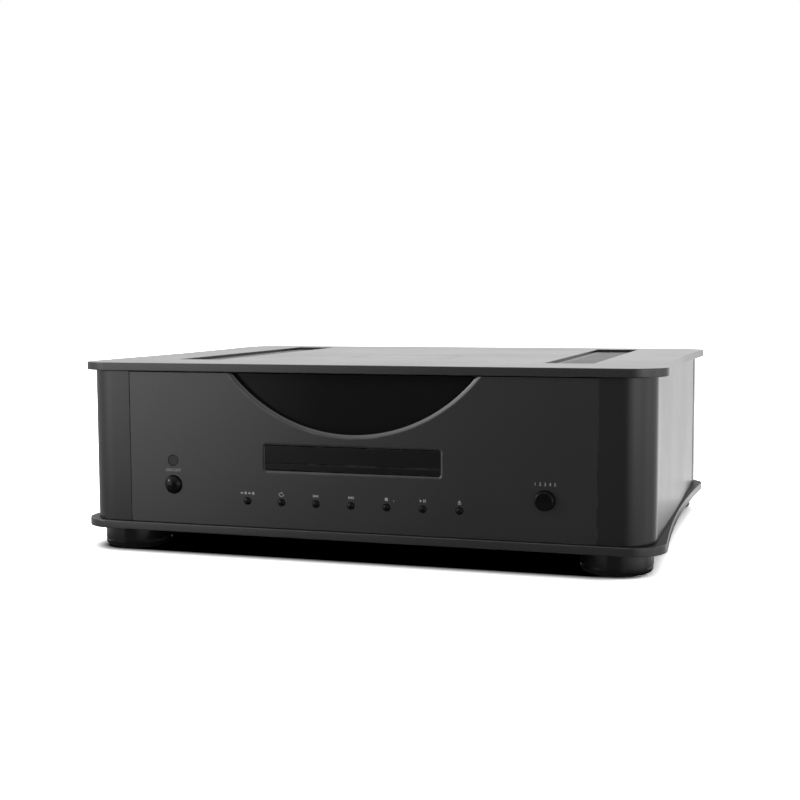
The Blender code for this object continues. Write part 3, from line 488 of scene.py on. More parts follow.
def finish(
    name, colour, roughness, metallic=0.0, drift=0.12, patches=14.0, spread=0.03, scale=1500.0,
    stretch=EVEN, depth=0.00001, rub=0.0, rubbed=(0.16, 0.16, 0.165), fixed=None,
):
    """A surface with drifting tone, uneven gloss, fine grain and rubbed edges."""
    existing = bpy.data.materials.get(name)
    if existing:
        return existing
    material = bpy.data.materials.new(name)
    material.use_nodes = True
    tree = material.node_tree
    shader = tree.nodes["Principled BSDF"]
    shader.inputs["Metallic"].default_value = metallic
    for socket, value in (fixed or {}).items():
        shader.inputs[socket].default_value = value
    values = {"Colour": (*colour, 1.0), "Drift": drift, "Patches": patches}
    tone = group_node(tree, "Tone drift", drift_group, values)
    uneven = map_range(tree, tone.outputs["Mask"], (0.3, 0.7), (roughness - spread, roughness + spread))
    base = tone.outputs["Colour"]
    if rub:
        wear = group_node(tree, "Edge rub", rub_group, {"Amount": rub})
        base = blend(tree, wear.outputs["Mask"], base, (*rubbed, 1.0))
    grain = group_node(tree, "Surface grain", grain_group, {"Stretch": stretch, "Scale": scale})
    links = [("Height", grain.outputs["Height"]), ("Distance", depth), ("Strength", 1.0)]
    bump = node(tree, "ShaderNodeBump", links)
    tree.links.new(base, shader.inputs["Base Color"])
    tree.links.new(uneven, shader.inputs["Roughness"])
    tree.links.new(bump.outputs["Normal"], shader.inputs["Normal"])
    material.diffuse_color = (*colour, 1.0)
    return material


def satin(part):
    """Black anodised aluminium: blasted plates, brushed fascia, extruded posts and folded walls, with a
    darker, duller copy on the bottom plate's upper faces that paints shade on its ledge.
    """
    case = bpy.context.scene.player_case
    tone, rough, shine, scale, stretch, depth = SATIN[part]
    return finish(
        f"satin_black_{part}", [channel * tone for channel in case.black], case.roughness * rough, drift=0.10,
        patches=9.0, spread=0.02, scale=scale, stretch=stretch, depth=depth, rub=0.25,
        fixed={"Specular IOR Level": shine},
    )


def smoked():
    """Polished smoked acrylic."""
    colour = bpy.context.scene.player_front.window_colour
    return finish(
        "smoked_acrylic", colour, 0.09, drift=0.2, patches=30.0, spread=0.02, scale=40.0, depth=0.000004,
        fixed={"Specular IOR Level": 0.07},
    )


def gloss():
    """Moulded gloss black of knob and buttons."""
    colour = bpy.context.scene.player_controls.gloss
    return finish(
        "moulded_gloss_black", colour, 0.08, drift=0.2, patches=200.0, spread=0.03, scale=500.0,
        depth=0.000002, rub=0.2, rubbed=(0.01, 0.01, 0.01), fixed={"Specular IOR Level": 0.12},
    )


def rubber():
    """Soft matt rubber."""
    black = (0.018, 0.018, 0.018)
    return finish("soft_rubber", black, 0.85, drift=0.3, spread=0.05, scale=1800.0, depth=0.00005)


def moulded():
    """Matt black plastic with a fine spark-eroded texture."""
    return finish(
        "moulded_plastic", (0.030, 0.030, 0.033), 0.5, drift=0.15, patches=25.0, spread=0.05, scale=1600.0,
        depth=0.00003, rub=0.3, rubbed=(0.09, 0.09, 0.095),
    )


def zinc():
    """Zinc plated steel sheet."""
    return finish(
        "zinc_plated_steel", (0.56, 0.56, 0.58), 0.34, metallic=1.0, drift=0.25, patches=60.0, spread=0.08,
        scale=700.0, stretch=(0.1, 1.0, 1.0),
    )


def grille_metal():
    """Satin sheet of the vent grilles."""
    colour = bpy.context.scene.player_vents.metal
    return finish("vent_sheet", colour, 0.3, drift=0.1, patches=12.0, scale=2600.0, depth=0.000004)


def gold():
    """Gold plated brass of the sockets."""
    return finish(
        "gold_plated_brass", (0.78, 0.56, 0.24), 0.22, metallic=1.0, drift=0.12, patches=150.0, scale=900.0,
        stretch=(1.0, 0.05, 1.0), depth=0.000006,
    )


def nylon():
    """Natural nylon of the loading gear."""
    return finish(
        "natural_nylon", (0.70, 0.69, 0.63), 0.42, drift=0.08, patches=80.0, scale=900.0, depth=0.00002,
        fixed={"Subsurface Weight": 0.1, "Subsurface Scale": 0.002},
    )


def printed():
    """Silk-screened print."""
    colour = bpy.context.scene.player_front.print_colour
    return finish("screen_print", colour, 0.55, drift=0.25, patches=900.0, scale=3000.0, depth=0.000005)


def dark_steel():
    """Black oxide steel of the screws."""
    return finish(
        "black_oxide_steel", (0.035, 0.035, 0.037), 0.36, metallic=0.6, drift=0.3, patches=300.0,
        rub=0.5, rubbed=(0.25, 0.25, 0.26),
    )


def circuit():
    """Green solder mask with paler copper tracks under it."""
    existing = bpy.data.materials.get("green_solder_mask")
    if existing:
        return existing
    material = finish("green_solder_mask", (0.012, 0.085, 0.035), 0.38, drift=0.15, patches=30.0, scale=600.0)
    tree = material.node_tree
    shader = tree.nodes["Principled BSDF"]
    plain = shader.inputs["Base Color"].links[0].from_socket
    links = [("Vector", object_place(tree)), ("Scale", 260.0), ("Randomness", 0.55)]
    cells = node(tree, "ShaderNodeTexVoronoi", links, feature="DISTANCE_TO_EDGE", distance="CHEBYCHEV")
    track = map_range(tree, cells.outputs["Distance"], (0.10, 0.14), (0.55, 0.0))
    copper = (0.035, 0.19, 0.075, 1.0)
    tree.links.new(blend(tree, track, plain, copper), shader.inputs["Base Color"])
    return material


# Geometry node trees for what repeats


def geometry_tree(name, inputs):
    """A tree with a geometry output, named inputs, and its two end nodes."""
    tree = bpy.data.node_groups.new(name, "GeometryNodeTree")
    tree.interface.new_socket("Geometry", in_out="INPUT", socket_type="NodeSocketGeometry")
    for label, kind in inputs:
        tree.interface.new_socket(label, in_out="INPUT", socket_type=kind)
    tree.interface.new_socket("Geometry", in_out="OUTPUT", socket_type="NodeSocketGeometry")
    return tree, tree.nodes.new("NodeGroupInput"), tree.nodes.new("NodeGroupOutput")


def end_tree(tree, end, instances, material):
    """Ends a tree in Realize Instances and Set Material."""
    real = node(tree, "GeometryNodeRealizeInstances", [("Geometry", instances)])
    links = [("Geometry", real.outputs["Geometry"]), ("Material", material)]
    painted = node(tree, "GeometryNodeSetMaterial", links)
    tree.links.new(painted.outputs["Geometry"], end.inputs["Geometry"])


def slat_tree():
    """Slats of a grille: one rounded bar repeated along Y."""
    inputs = [("Count", "NodeSocketInt"), ("Pitch", "NodeSocketFloat"), ("Length", "NodeSocketFloat")]
    inputs += [("Width", "NodeSocketFloat"), ("Thickness", "NodeSocketFloat"), ("Start", "NodeSocketVector")]
    inputs += [("Material", "NodeSocketMaterial")]
    tree, entry, end = geometry_tree("Row of slats", inputs)
    step = node(tree, "ShaderNodeCombineXYZ", [("Y", entry.outputs["Pitch"])]).outputs["Vector"]
    links = [("Count", entry.outputs["Count"]), ("Start Location", entry.outputs["Start"]), ("Offset", step)]
    row = node(tree, "GeometryNodeMeshLine", links).outputs["Mesh"]
    half = calculate(tree, "MULTIPLY", entry.outputs["Length"], 0.5)
    back = calculate(tree, "MULTIPLY", half, -1.0)
    first = node(tree, "ShaderNodeCombineXYZ", [("X", back)]).outputs["Vector"]
    last = node(tree, "ShaderNodeCombineXYZ", [("X", half)]).outputs["Vector"]
    spine = node(tree, "GeometryNodeCurvePrimitiveLine", [("Start", first), ("End", last)]).outputs["Curve"]
    links = [("Width", entry.outputs["Width"]), ("Height", entry.outputs["Thickness"])]
    section = node(tree, "GeometryNodeCurvePrimitiveQuadrilateral", links).outputs["Curve"]
    round_off = calculate(tree, "MULTIPLY", entry.outputs["Thickness"], 0.3)
    links = [("Curve", section), ("Radius", round_off), ("Count", 2)]
    fillet = node(tree, "GeometryNodeFilletCurve", links, mode="POLY")
    links = [("Curve", spine), ("Profile Curve", fillet.outputs["Curve"]), ("Fill Caps", True)]
    bar = node(tree, "GeometryNodeCurveToMesh", links).outputs["Mesh"]
    links = [("Points", row), ("Instance", bar)]
    slats = node(tree, "GeometryNodeInstanceOnPoints", links).outputs["Instances"]
    end_tree(tree, end, slats, entry.outputs["Material"])
    return tree


def screw_tree():
    """Socket head screws on the points of a mesh."""
    inputs = [("Radius", "NodeSocketFloat"), ("Height", "NodeSocketFloat"), ("Socket", "NodeSocketFloat")]
    inputs += [("Turn", "NodeSocketRotation"), ("Material", "NodeSocketMaterial")]
    tree, entry, end = geometry_tree("Screws", inputs)
    rim = calculate(tree, "MULTIPLY", entry.outputs["Radius"], 0.86)
    links = [("Vertices", 28), ("Radius Bottom", entry.outputs["Radius"]), ("Radius Top", rim)]
    links += [("Depth", entry.outputs["Height"])]
    head = node(tree, "GeometryNodeMeshCone", links).outputs["Mesh"]
    links = [("Vertices", 6), ("Radius", entry.outputs["Socket"]), ("Depth", entry.outputs["Height"])]
    key = node(tree, "GeometryNodeMeshCylinder", links).outputs["Mesh"]
    raised = calculate(tree, "MULTIPLY", entry.outputs["Height"], 0.9)
    place = node(tree, "ShaderNodeCombineXYZ", [("Z", raised)]).outputs["Vector"]
    key = node(tree, "GeometryNodeTransform", [("Geometry", key), ("Translation", place)]).outputs["Geometry"]
    links = [("Mesh 1", head), ("Mesh 2", key)]
    drilled = node(tree, "GeometryNodeMeshBoolean", links, operation="DIFFERENCE").outputs["Mesh"]
    links = [("Points", entry.outputs["Geometry"]), ("Instance", drilled)]
    links += [("Rotation", entry.outputs["Turn"])]
    screws = node(tree, "GeometryNodeInstanceOnPoints", links).outputs["Instances"]
    end_tree(tree, end, screws, entry.outputs["Material"])
    return tree


def grown(name, points, tree, values):
    """A plain mesh object grown from points by a geometry tree with its inputs set."""
    shape = bmesh.new()
    for point in points:
        shape.verts.new(point)
    made = raw_object(name, shape)
    modifier = made.modifiers.new("Grow", "NODES")
    modifier.node_group = tree
    for item in tree.interface.items_tree:
        if item.item_type == "SOCKET" and item.in_out == "INPUT" and item.name in values:
            modifier[item.identifier] = values[item.name]
    bake(made)
    made.data.name = name
    return made


# Case


def plate_outline(width, y_range, corner, waist_width):
    """Straight front and back, round corners and hollow sides, each tangent to the next."""
    corner_x = width / 2 - corner
    reach = (y_range[1] - y_range[0]) / 2 - corner
    waist = waist_width / 2 - corner_x
    side_radius = (waist**2 + reach**2 - corner**2) / (2 * (corner - waist))
    side_x = corner_x + waist + side_radius
    tilt = math.degrees(math.asin(reach / (side_radius + corner)))
    right = arc((corner_x, -reach), corner, -90, tilt, 28)
    right += arc((side_x, 0), side_radius, 180 + tilt, 180 - tilt, 48)[1:-1]
    right += arc((corner_x, reach), corner, -tilt, 90, 28)
    both = right + [(-x, -y) for x, y in right]
    centre = sum(y_range) / 2
    return [(x, y + centre) for x, y in both]


def vent_ranges(side):
    """Pocket of a vent, a little wider than its grille."""
    x, y, _ = spans(f"{side}_vent_grille")
    return widened(x, GAP), widened(y, GAP)


class PLAYER_OT_covers(bpy.types.Operator):
    """Make the top and bottom plates"""

    bl_idname = "player.covers"
    bl_label = "Plates"

    def execute(self, context):
        case = context.scene.player_case
        for name, cuts in (("top_plate", self.top_cuts()), ("bottom_plate", [])):
            x, y, z = spans(name)
            outline = plate_outline(x[1] - x[0], y, case.corner, case.waist)
            shape = body_of_shapes((add_prism, outline, "Z", z[0], z[0] + SHEET))
            label = f"{name}_rounded"
            made = piece(label, shape, satin("plate"), "chassis", [name], cuts, case.edge, 3)
            if name == "bottom_plate":
                # the upper faces take the darker, duller satin that paints shade on the ledge
                paint_some(made, satin("base"), lambda face: face.normal.z > 0.99)
        self.bosses()
        return {"FINISHED"}

    def top_cuts(self):
        """Cutters for the two stepped vents and the inlay's pocket."""
        top = spans("top_plate")[2]
        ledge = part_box("left_vent_grille")[0].z - GAP
        rim = 0.003
        upper, lower = bmesh.new(), bmesh.new()
        for side, _ in SIDES:
            x, y = vent_ranges(side)
            add_prism(upper, rounded_rectangle(x, y, 0.0012), "Z", ledge, top[1] + OVER)
            inner = widened(x, -rim), widened(y, -rim)
            add_prism(lower, rounded_rectangle(*inner, 0.002), "Z", top[0] - OVER, top[1])
        x, y, z = spans("badge_plate")
        pocket = widened(x, GAP), widened(y, GAP)
        add_prism(upper, rounded_rectangle(*pocket, 0.0013), "Z", z[0] - GAP, top[1] + OVER)
        return [upper, lower]

    def bosses(self):
        """Bosses on the bottom plate that carry the boards."""
        shape = bmesh.new()
        inset, radius, sunk = 0.006, 0.003, 0.0005
        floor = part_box("bottom_plate")[0].z + SHEET
        for board in ("audio_board", "power_board"):
            x, y, z = spans(board)
            for px in widened(x, -inset):
                for py in widened(y, -inset):
                    add_rod(shape, radius, "Z", (px, py), floor - sunk, z[0] - GAP, 24)
        piece("board_bosses", shape, zinc(), "chassis", ())


class PLAYER_OT_inlay(bpy.types.Operator):
    """Make the blank inlay in the top"""

    bl_idname = "player.inlay"
    bl_label = "Blank inlay"

    def execute(self, context):
        x, y, z = spans("badge_plate")
        shape = body_of_shapes((add_prism, rounded_rectangle(x, y, 0.001), "Z", *z))
        inset, line_width = 0.0030, 0.0005
        outer = rounded_rectangle(widened(x, -inset), widened(y, -inset), 0.002)
        inset += line_width
        inner = rounded_rectangle(widened(x, -inset), widened(y, -inset), 0.0015)
        low, high = z[1] - 0.0003, z[1] + 0.0005
        rings = [lift(outer, "Z", low), lift(outer, "Z", high), lift(inner, "Z", high), lift(inner, "Z", low)]
        groove = bmesh.new()
        join_rings(groove, rings, closed=True)
        cuts = [groove]
        piece("blank_inlay", shape, satin("plate"), "chassis", ["badge_plate"], cuts, 0.00015)
        return {"FINISHED"}


class PLAYER_OT_fascia(bpy.types.Operator):
    """Make the front panel with its arch, drawer slot and control holes"""

    bl_idname = "player.fascia"
    bl_label = "Front panel"

    def execute(self, context):
        front = context.scene.player_front
        x, y, z = spans("front_panel")
        shape = body_of_shapes((add_prism, rectangle(x, z), "Y", *y))
        reach = widened(y, OVER)
        chamfer = (0.0030, 0.0013)
        profile = [
            (0, reach[0]),
            (front.arc_radius + chamfer[0] + OVER * chamfer[0] / chamfer[1], reach[0]),
            (front.arc_radius, y[0] + chamfer[1]),
            (front.arc_radius, reach[1]),
            (0, reach[1]),
        ]
        bowl = body_of_shapes((add_turned, profile, "Y", (0, front.arc_centre), 400))
        bar_x, _, bar_z = spans("tray_front")
        opening = widened(bar_x, 0.0007), widened(bar_z, 0.0008)
        rings = []
        depth = front.slot_bevel * 0.45
        outer = front.slot_bevel * (1 + OVER / depth)
        for level, grow in ((-OVER, outer), (depth, 0), (y[1] - y[0] + OVER, 0)):
            wide = [widened(span, grow) for span in opening]
            rings.append(lift(rounded_rectangle(*wide, 0.0015 + grow, 8), "Y", y[0] + level))
        holes = bmesh.new()
        add_loft(holes, rings)
        for name, radius, sides in hole_list():
            centre = middle(name)
            add_rod(holes, radius, "Y", (centre.x, centre.z), *reach, sides)
        panel = piece(
            "front_panel_brushed", shape, satin("fascia"), "chassis", ["front_panel"],
            [bowl, holes], 0.00022, 2, 30,
        )

        def on_chamfer(face):
            """Whether a face lies on the arc's chamfer."""
            out = math.hypot(face.center.x, face.center.z - front.arc_centre) - front.arc_radius
            return 0.3 < abs(face.normal.y) < 0.97 and 0 < out < chamfer[0]

        paint_some(panel, satin("cut"), on_chamfer)
        return {"FINISHED"}


CAP_BACK = -0.1640  # level of the back of the two large caps
BUTTONS = ("display", "repeat", "previous", "next", "stop", "play", "eject")


def hole_list():
    """Node, hole radius and number of sides of each round hole in the front panel."""
    holes = [(f"{name}_button", 0.0028, 40) for name in BUTTONS]
    holes += [("power_button", 0.0070, 72), ("selector_knob", 0.0070, 72)]
    return holes + [("receiver_window", 0.0042, 56)]


class PLAYER_OT_posts(bpy.types.Operator):
    """Make the four corner posts"""

    bl_idname = "player.posts"
    bl_label = "Corner posts"

    def execute(self, context):
        radius = context.scene.player_case.post_radius
        for side, sx in SIDES:
            for end, sy in ENDS:
                name = f"{end}_{side}_post"
                x, y, z = spans(name)
                near = sorted((abs(v) for v in x))
                far_y, near_y = (y[1], y[0]) if sy > 0 else (y[0], y[1])
                outline = [(near[0], near_y * sy), (near[1], near_y * sy)]
                outline += arc((near[1] - radius, far_y * sy - radius), radius, 0, 90, 40)
                outline += [(near[0], far_y * sy)]
                placed = [(sx * a, sy * b) for a, b in outline]
                shape = body_of_shapes((add_prism, placed, "Z", *z))
                piece(f"{name}_rounded", shape, satin("post"), "chassis", [name], (), 0.0003)
        return {"FINISHED"}


class PLAYER_OT_walls(bpy.types.Operator):
    """Make the side walls and the back wall"""

    bl_idname = "player.walls"
    bl_label = "Side and back walls"

    def execute(self, context):
        for side, _ in SIDES:
            name = f"{side}_side_panel"
            shape = body_of_shapes((add_block, *spans(name)))
            piece(f"{name}_folded", shape, satin("wall"), "chassis", [name], (), 0.0004)
        x, y, z = spans("rear_panel")
        shape = body_of_shapes((add_block, x, y, z))
        holes = bmesh.new()
        reach = widened(y, OVER)
        centre = middle("power_inlet")
        inlet = around(centre.x, 0.0138), around(centre.z, 0.0101)
        add_prism(holes, rounded_rectangle(*inlet, 0.0005), "Y", *reach)
        for name in ("left_output_socket", "right_output_socket", "digital_output_socket"):
            centre = middle(name)
            add_rod(holes, 0.0053, "Y", (centre.x, centre.z), *reach, 48)
        replaced = ["rear_panel"]
        piece("rear_panel_folded", shape, satin("wall"), "chassis", replaced, [holes], 0.0003)
        return {"FINISHED"}


class PLAYER_OT_vents(bpy.types.Operator):
    """Make the two vent grilles from a frame and a row of slats"""

    bl_idname = "player.vents"
    bl_label = "Vent grilles"

    def execute(self, context):
        vents = context.scene.player_vents
        tree = slat_tree()
        for side, _ in SIDES:
            name = f"{side}_vent_grille"
            x, y, z = spans(name)
            pitch = (y[1] - y[0]) / vents.slats
            width = pitch * (1 - vents.open_share)
            border = 0.005
            shape = body_of_shapes((add_prism, rounded_rectangle(x, y, 0.0008), "Z", *z))
            window = bmesh.new()
            opening = widened(x, -border), widened(y, -width / 2)
            add_prism(window, rectangle(*opening), "Z", *widened(z, OVER))
            frame_piece = piece(f"{name}_frame", shape, grille_metal(), cuts=[window], bevel=0.0001)
            values = {
                "Count": vents.slats - 1,
                "Pitch": pitch,
                "Length": x[1] - x[0] - 2 * border + 0.0004,
                "Width": width,
                "Thickness": z[1] - z[0] - 0.00002,
                "Start": (sum(x) / 2, y[0] + pitch, sum(z) / 2),
                "Material": grille_metal(),
            }
            slats = grown(f"{name}_slats", [], tree, values)
            even_shading(slats, 40)
            attach(slats, grille_metal(), "chassis", ())
            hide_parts(name)
        return {"FINISHED"}


class PLAYER_OT_feet(bpy.types.Operator):
    """Make the four turned feet with their rubber pads"""

    bl_idname = "player.feet"
    bl_label = "Feet"

    def execute(self, context):
        for end, _ in ENDS:
            for side, _ in SIDES:
                self.foot(f"{end}_{side}")
        return {"FINISHED"}

    def foot(self, place):
        """A foot with a rounded lower rim, and its ribbed pad."""
        x, y, z = spans(f"foot_{place}")
        centre = centre_of(x, y)
        radius = (y[1] - y[0]) / 2
        pad_x, _, pad_z = spans(f"foot_pad_{place}")
        pad = (pad_x[1] - pad_x[0]) / 2
        low, top = z
        rim, break_edge = 0.0032, 0.0004
        waist = radius - break_edge
        profile = [(0, top), (waist, top), (radius, top - break_edge), (radius, low + rim + 0.0020)]
        profile += [(waist, low + rim + 0.0016), (waist, low + rim + 0.0010), (radius, low + rim + 0.0006)]
        profile += arc((radius - rim, low + rim), rim, 0, -90, 9)
        recess = pad_z[1] + GAP
        profile += [(pad + GAP + 0.0003, low), (pad + GAP, low + 0.0003), (pad + GAP, recess), (0, recess)]
        shape = body_of_shapes((add_turned, profile, "Z", centre, 96))
        piece(f"foot_{place}_turned", shape, satin("foot"), "chassis", [f"foot_{place}"])
        profile = [(0, pad_z[1]), (pad, pad_z[1]), (pad, pad_z[0] + 0.0006), (pad - 0.0006, pad_z[0])]
        for ring in (0.014, 0.010, 0.006):
            profile += [(ring + 0.0006, pad_z[0]), (ring, pad_z[0] + 0.0006), (ring - 0.0006, pad_z[0])]
        profile += [(0, pad_z[0])]
        shape = body_of_shapes((add_turned, profile, "Z", centre, 72))
        piece(f"foot_pad_{place}_ribbed", shape, rubber(), "chassis", [f"foot_pad_{place}"])


# Front


class PLAYER_OT_display(bpy.types.Operator):
    """Make the smoked display window and the receiver's spot"""

    bl_idname = "player.display"
    bl_label = "Display window"

    def execute(self, context):
        x, y, z = spans("display_window")
        shape = body_of_shapes((add_prism, rounded_rectangle(x, z, 0.002), "Y", *y))
        piece("smoked_window", shape, smoked(), "chassis", ["display_window"], (), 0.0003)
        x, y, z = spans("receiver_window")
        centre = centre_of(x, z)
        radius = (z[1] - z[0]) / 2
        profile = [(0, y[0]), (radius - 0.0002, y[0]), (radius, y[0] + 0.0002), (radius, y[1]), (0, y[1])]
        shape = body_of_shapes((add_turned, profile, "Y", centre, 56))
        material = finish(
            "receiver_filter", (0.0100, 0.0095, 0.0100), 0.24, drift=0.2, patches=300.0, scale=400.0,
            depth=0.000003, fixed={"Specular IOR Level": 0.26},
        )
        piece("receiver_lens", shape, material, "chassis", ["receiver_window"])
        return {"FINISHED"}


class PLAYER_OT_drawer(bpy.types.Operator):
    """Make the disc drawer and its front bar"""

    bl_idname = "player.drawer"
    bl_label = "Disc drawer"

    def execute(self, context):
        x, y, z = spans("tray_front")
        grow, over = 0.0003, 0.001
        outline = rounded_rectangle(widened(x, grow), widened(z, grow), 0.001)
        shape = body_of_shapes((add_prism, outline, "Y", *y))
        groove = bmesh.new()
        level, depth, height = z[0] + 0.0042, 0.0005, 0.0007
        add_block(groove, widened(x, over), (y[0] - over, y[0] + depth), (level, level + height))
        bar = finish(
            "drawer_bar", (0.0030, 0.0030, 0.0032), 0.24, drift=0.15, patches=12.0, scale=900.0,
            stretch=(0.03, 1.0, 1.6), depth=0.000005, rub=0.2, fixed={"Specular IOR Level": 0.16},
        )
        piece("drawer_front_bar", shape, bar, "tray", ["tray_front"], [groove], 0.0003, 3)
        self.tray()
        return {"FINISHED"}

    def tray(self):
        """Tray with its two disc wells, the slot for the reading unit and the runners."""
        x, y, z = spans("disc_tray")
        disc_y = middle("turntable").y
        half, slot = 0.062, 0.019
        bottom, top = 0.071, z[1]
        outline = [(-half, y[1]), (-half, y[0]), (half, y[0]), (half, y[1]), (slot, y[1])]
        outline += arc((0, disc_y), slot, 0, -180, 48)
        outline += [(-slot, y[1])]
        shape = body_of_shapes((add_prism, outline, "Z", bottom, top))
        wells = bmesh.new()
        small, large = (0.0408, 0.0748), (0.0608, 0.0758)
        profile = [(0, small[1]), (small[0] - 0.0004, small[1]), (small[0], large[1])]
        profile += [(large[0] - 0.0008, large[1]), (large[0], large[1] + 0.0012)]
        profile += [(large[0] + 0.0004, top - 0.0004), (large[0] + 0.0012, top + 0.0012), (0, top + 0.0012)]
        add_turned(wells, profile, "Z", (0, disc_y), 160)
        piece("disc_tray_moulded", shape, moulded(), "tray", ["disc_tray"], [wells], 0.0004)
        runners = bmesh.new()
        for _, sx in SIDES:
            span = sorted((sx * (half - 0.0008), sx * x[1]))
            add_block(runners, span, (y[0] + 0.006, y[1] - 0.001), (bottom + 0.002, bottom + 0.005))
        add_prism(runners, self.rack(y), "Z", z[0], bottom + 0.0005)
        piece("tray_runners", runners, moulded(), "tray", ())

    def rack(self, y):
        """Rack under the tray, in mesh with the loading gear."""
        module, pinion_y = 0.0015, -0.135
        pitch, line, spine = math.pi * module, -0.0555, -0.060
        half, tip, root = 0.21 * pitch, 0.8 * module, 1.1 * module
        slope = math.tan(math.radians(20))
        low, high = y[0] + 0.002, y[1] - 0.0005
        first = math.ceil((low + pitch / 2 - pinion_y) / pitch)
        last = math.floor((high - pitch / 2 - pinion_y) / pitch)
        outline = [(spine, high), (spine, low), (line - root, low)]
        for i in range(first, last + 1):
            at = pinion_y + i * pitch
            wide, thin = half + root * slope, half - tip * slope
            outline += [(line - root, at - wide), (line + tip, at - thin)]
            outline += [(line + tip, at + thin), (line - root, at + wide)]
        return outline + [(line - root, high)]


class PLAYER_OT_power_button(bpy.types.Operator):
    """Make the domed power button"""

    bl_idname = "player.power_button"
    bl_label = "Power button"

    def execute(self, context):
        reach = context.scene.player_controls.dome
        x, y, z = spans("power_button")
        radius, stem = (z[1] - z[0]) / 2, 0.0025
        profile = [(0, y[0])]
        for degrees in range(6, 79, 6):
            angle = math.radians(degrees)
            profile.append((radius * math.sin(angle), y[0] + reach * (1 - math.cos(angle))))
        profile += [(radius, y[0] + reach), (radius, CAP_BACK), (stem, CAP_BACK), (stem, y[1]), (0, y[1])]
        shape = body_of_shapes((add_turned, profile, "Y", centre_of(x, z), 72))
        piece("power_dome", shape, gloss(), "power_button_body", ["power_button"])
        return {"FINISHED"}


class PLAYER_OT_selector(bpy.types.Operator):
    """Make the turning selector knob with its pointer"""

    bl_idname = "player.selector"
    bl_label = "Selector knob"

    def execute(self, context):
        x, y, z = spans("selector_knob")
        centre, radius = centre_of(x, z), (z[1] - z[0]) / 2
        dish, stem = 0.0003, 0.0030
        profile = [(0, y[0] + dish), (radius * 0.5, y[0] + dish * 0.7), (radius - 0.0012, y[0])]
        profile += [(radius - 0.0006, y[0] + 0.0001), (radius - 0.0001, y[0] + 0.0006)]
        profile += [(radius, y[0] + 0.0012)]
        profile += [(radius, CAP_BACK), (stem, CAP_BACK), (stem, y[1]), (0, y[1])]
        shape = body_of_shapes((add_turned, profile, "Y", centre, 72))
        depth = (y[0] - 0.001, y[0] + 0.0006)
        line = (centre[1] + radius * 0.40, centre[1] + radius * 0.85)
        cuts = [body_of_shapes((add_block, around(centre[0], 0.0003), depth, line))]
        piece("selector_cap", shape, gloss(), "selector_knob_body", ["selector_knob"], cuts)
        return {"FINISHED"}


class PLAYER_OT_push_buttons(bpy.types.Operator):
    """Make the row of small push buttons"""

    bl_idname = "player.push_buttons"
    bl_label = "Push buttons"

    def execute(self, context):
        radius, flange, stem = 0.0025, 0.0036, 0.0014
        shoulder, back = -0.1645, -0.1637
        for name in BUTTONS:
            x, y, z = spans(f"{name}_button")
            profile = [(0, y[0]), (0.0009, y[0] + 0.00006), (0.0016, y[0] + 0.0002), (0.0021, y[0] + 0.0005)]
            profile += [(radius, y[0] + 0.0011), (radius, shoulder), (flange, shoulder)]
            profile += [(flange, back), (stem, back), (stem, y[1]), (0, y[1])]
            shape = body_of_shapes((add_turned, profile, "Y", centre_of(x, z), 40))
            piece(f"{name}_cap", shape, gloss(), f"{name}_button_body", [f"{name}_button"])
        return {"FINISHED"}


# Printed marks


FONT_SIZE = 1.38  # size of the font for capitals of height 1


def text_mesh(text, height, centre, level):
    """Flat lettering on the front panel, as a thin closed mesh."""
    curve = bpy.data.curves.new("lettering", "FONT")
    curve.body = text
    curve.align_x, curve.align_y = "CENTER", "CENTER"
    curve.size = height * FONT_SIZE
    curve.space_character = 1.12
    curve.space_word = 1.5
    curve.extrude = 0.00004
    curve.resolution_u = 4
    made = bpy.data.objects.new("lettering", curve)
    bpy.context.scene.collection.objects.link(made)
    mesh = evaluated_mesh(made)
    bpy.data.objects.remove(made)
    turn = Euler((math.radians(90), 0, 0)).to_matrix().to_4x4()
    mesh.transform(Matrix.Translation((centre[0], level, centre[1])) @ turn)
    return mesh


def triangle(x, z, half, direction):
    """Triangle pointing left or right, by its middle and half height."""
    base, tip = x - direction * half * 0.8, x + direction * half * 0.8
    return [(base, z - half), (tip, z), (base, z + half)]


def bar_mark(x, z, half_width, half_height):
    """Upright rectangle by its middle."""
    return rectangle(around(x, half_width), around(z, half_height))


def loop_mark(x, z):
    """Open loop with an arrow head, for repeat."""
    ring = []
    for wide, high, turn in ((0.0021, 0.0015, range(70, 381, 15)), (0.0016, 0.0010, range(370, 69, -15))):
        for degrees in turn:
            angle = math.radians(degrees)
            ring.append((x + wide * math.cos(angle), z + high * math.sin(angle)))
    head = [(x + 0.0001, z + 0.0004), (x + 0.0013, z + 0.0012), (x + 0.0001, z + 0.0021)]
    return [ring, head]


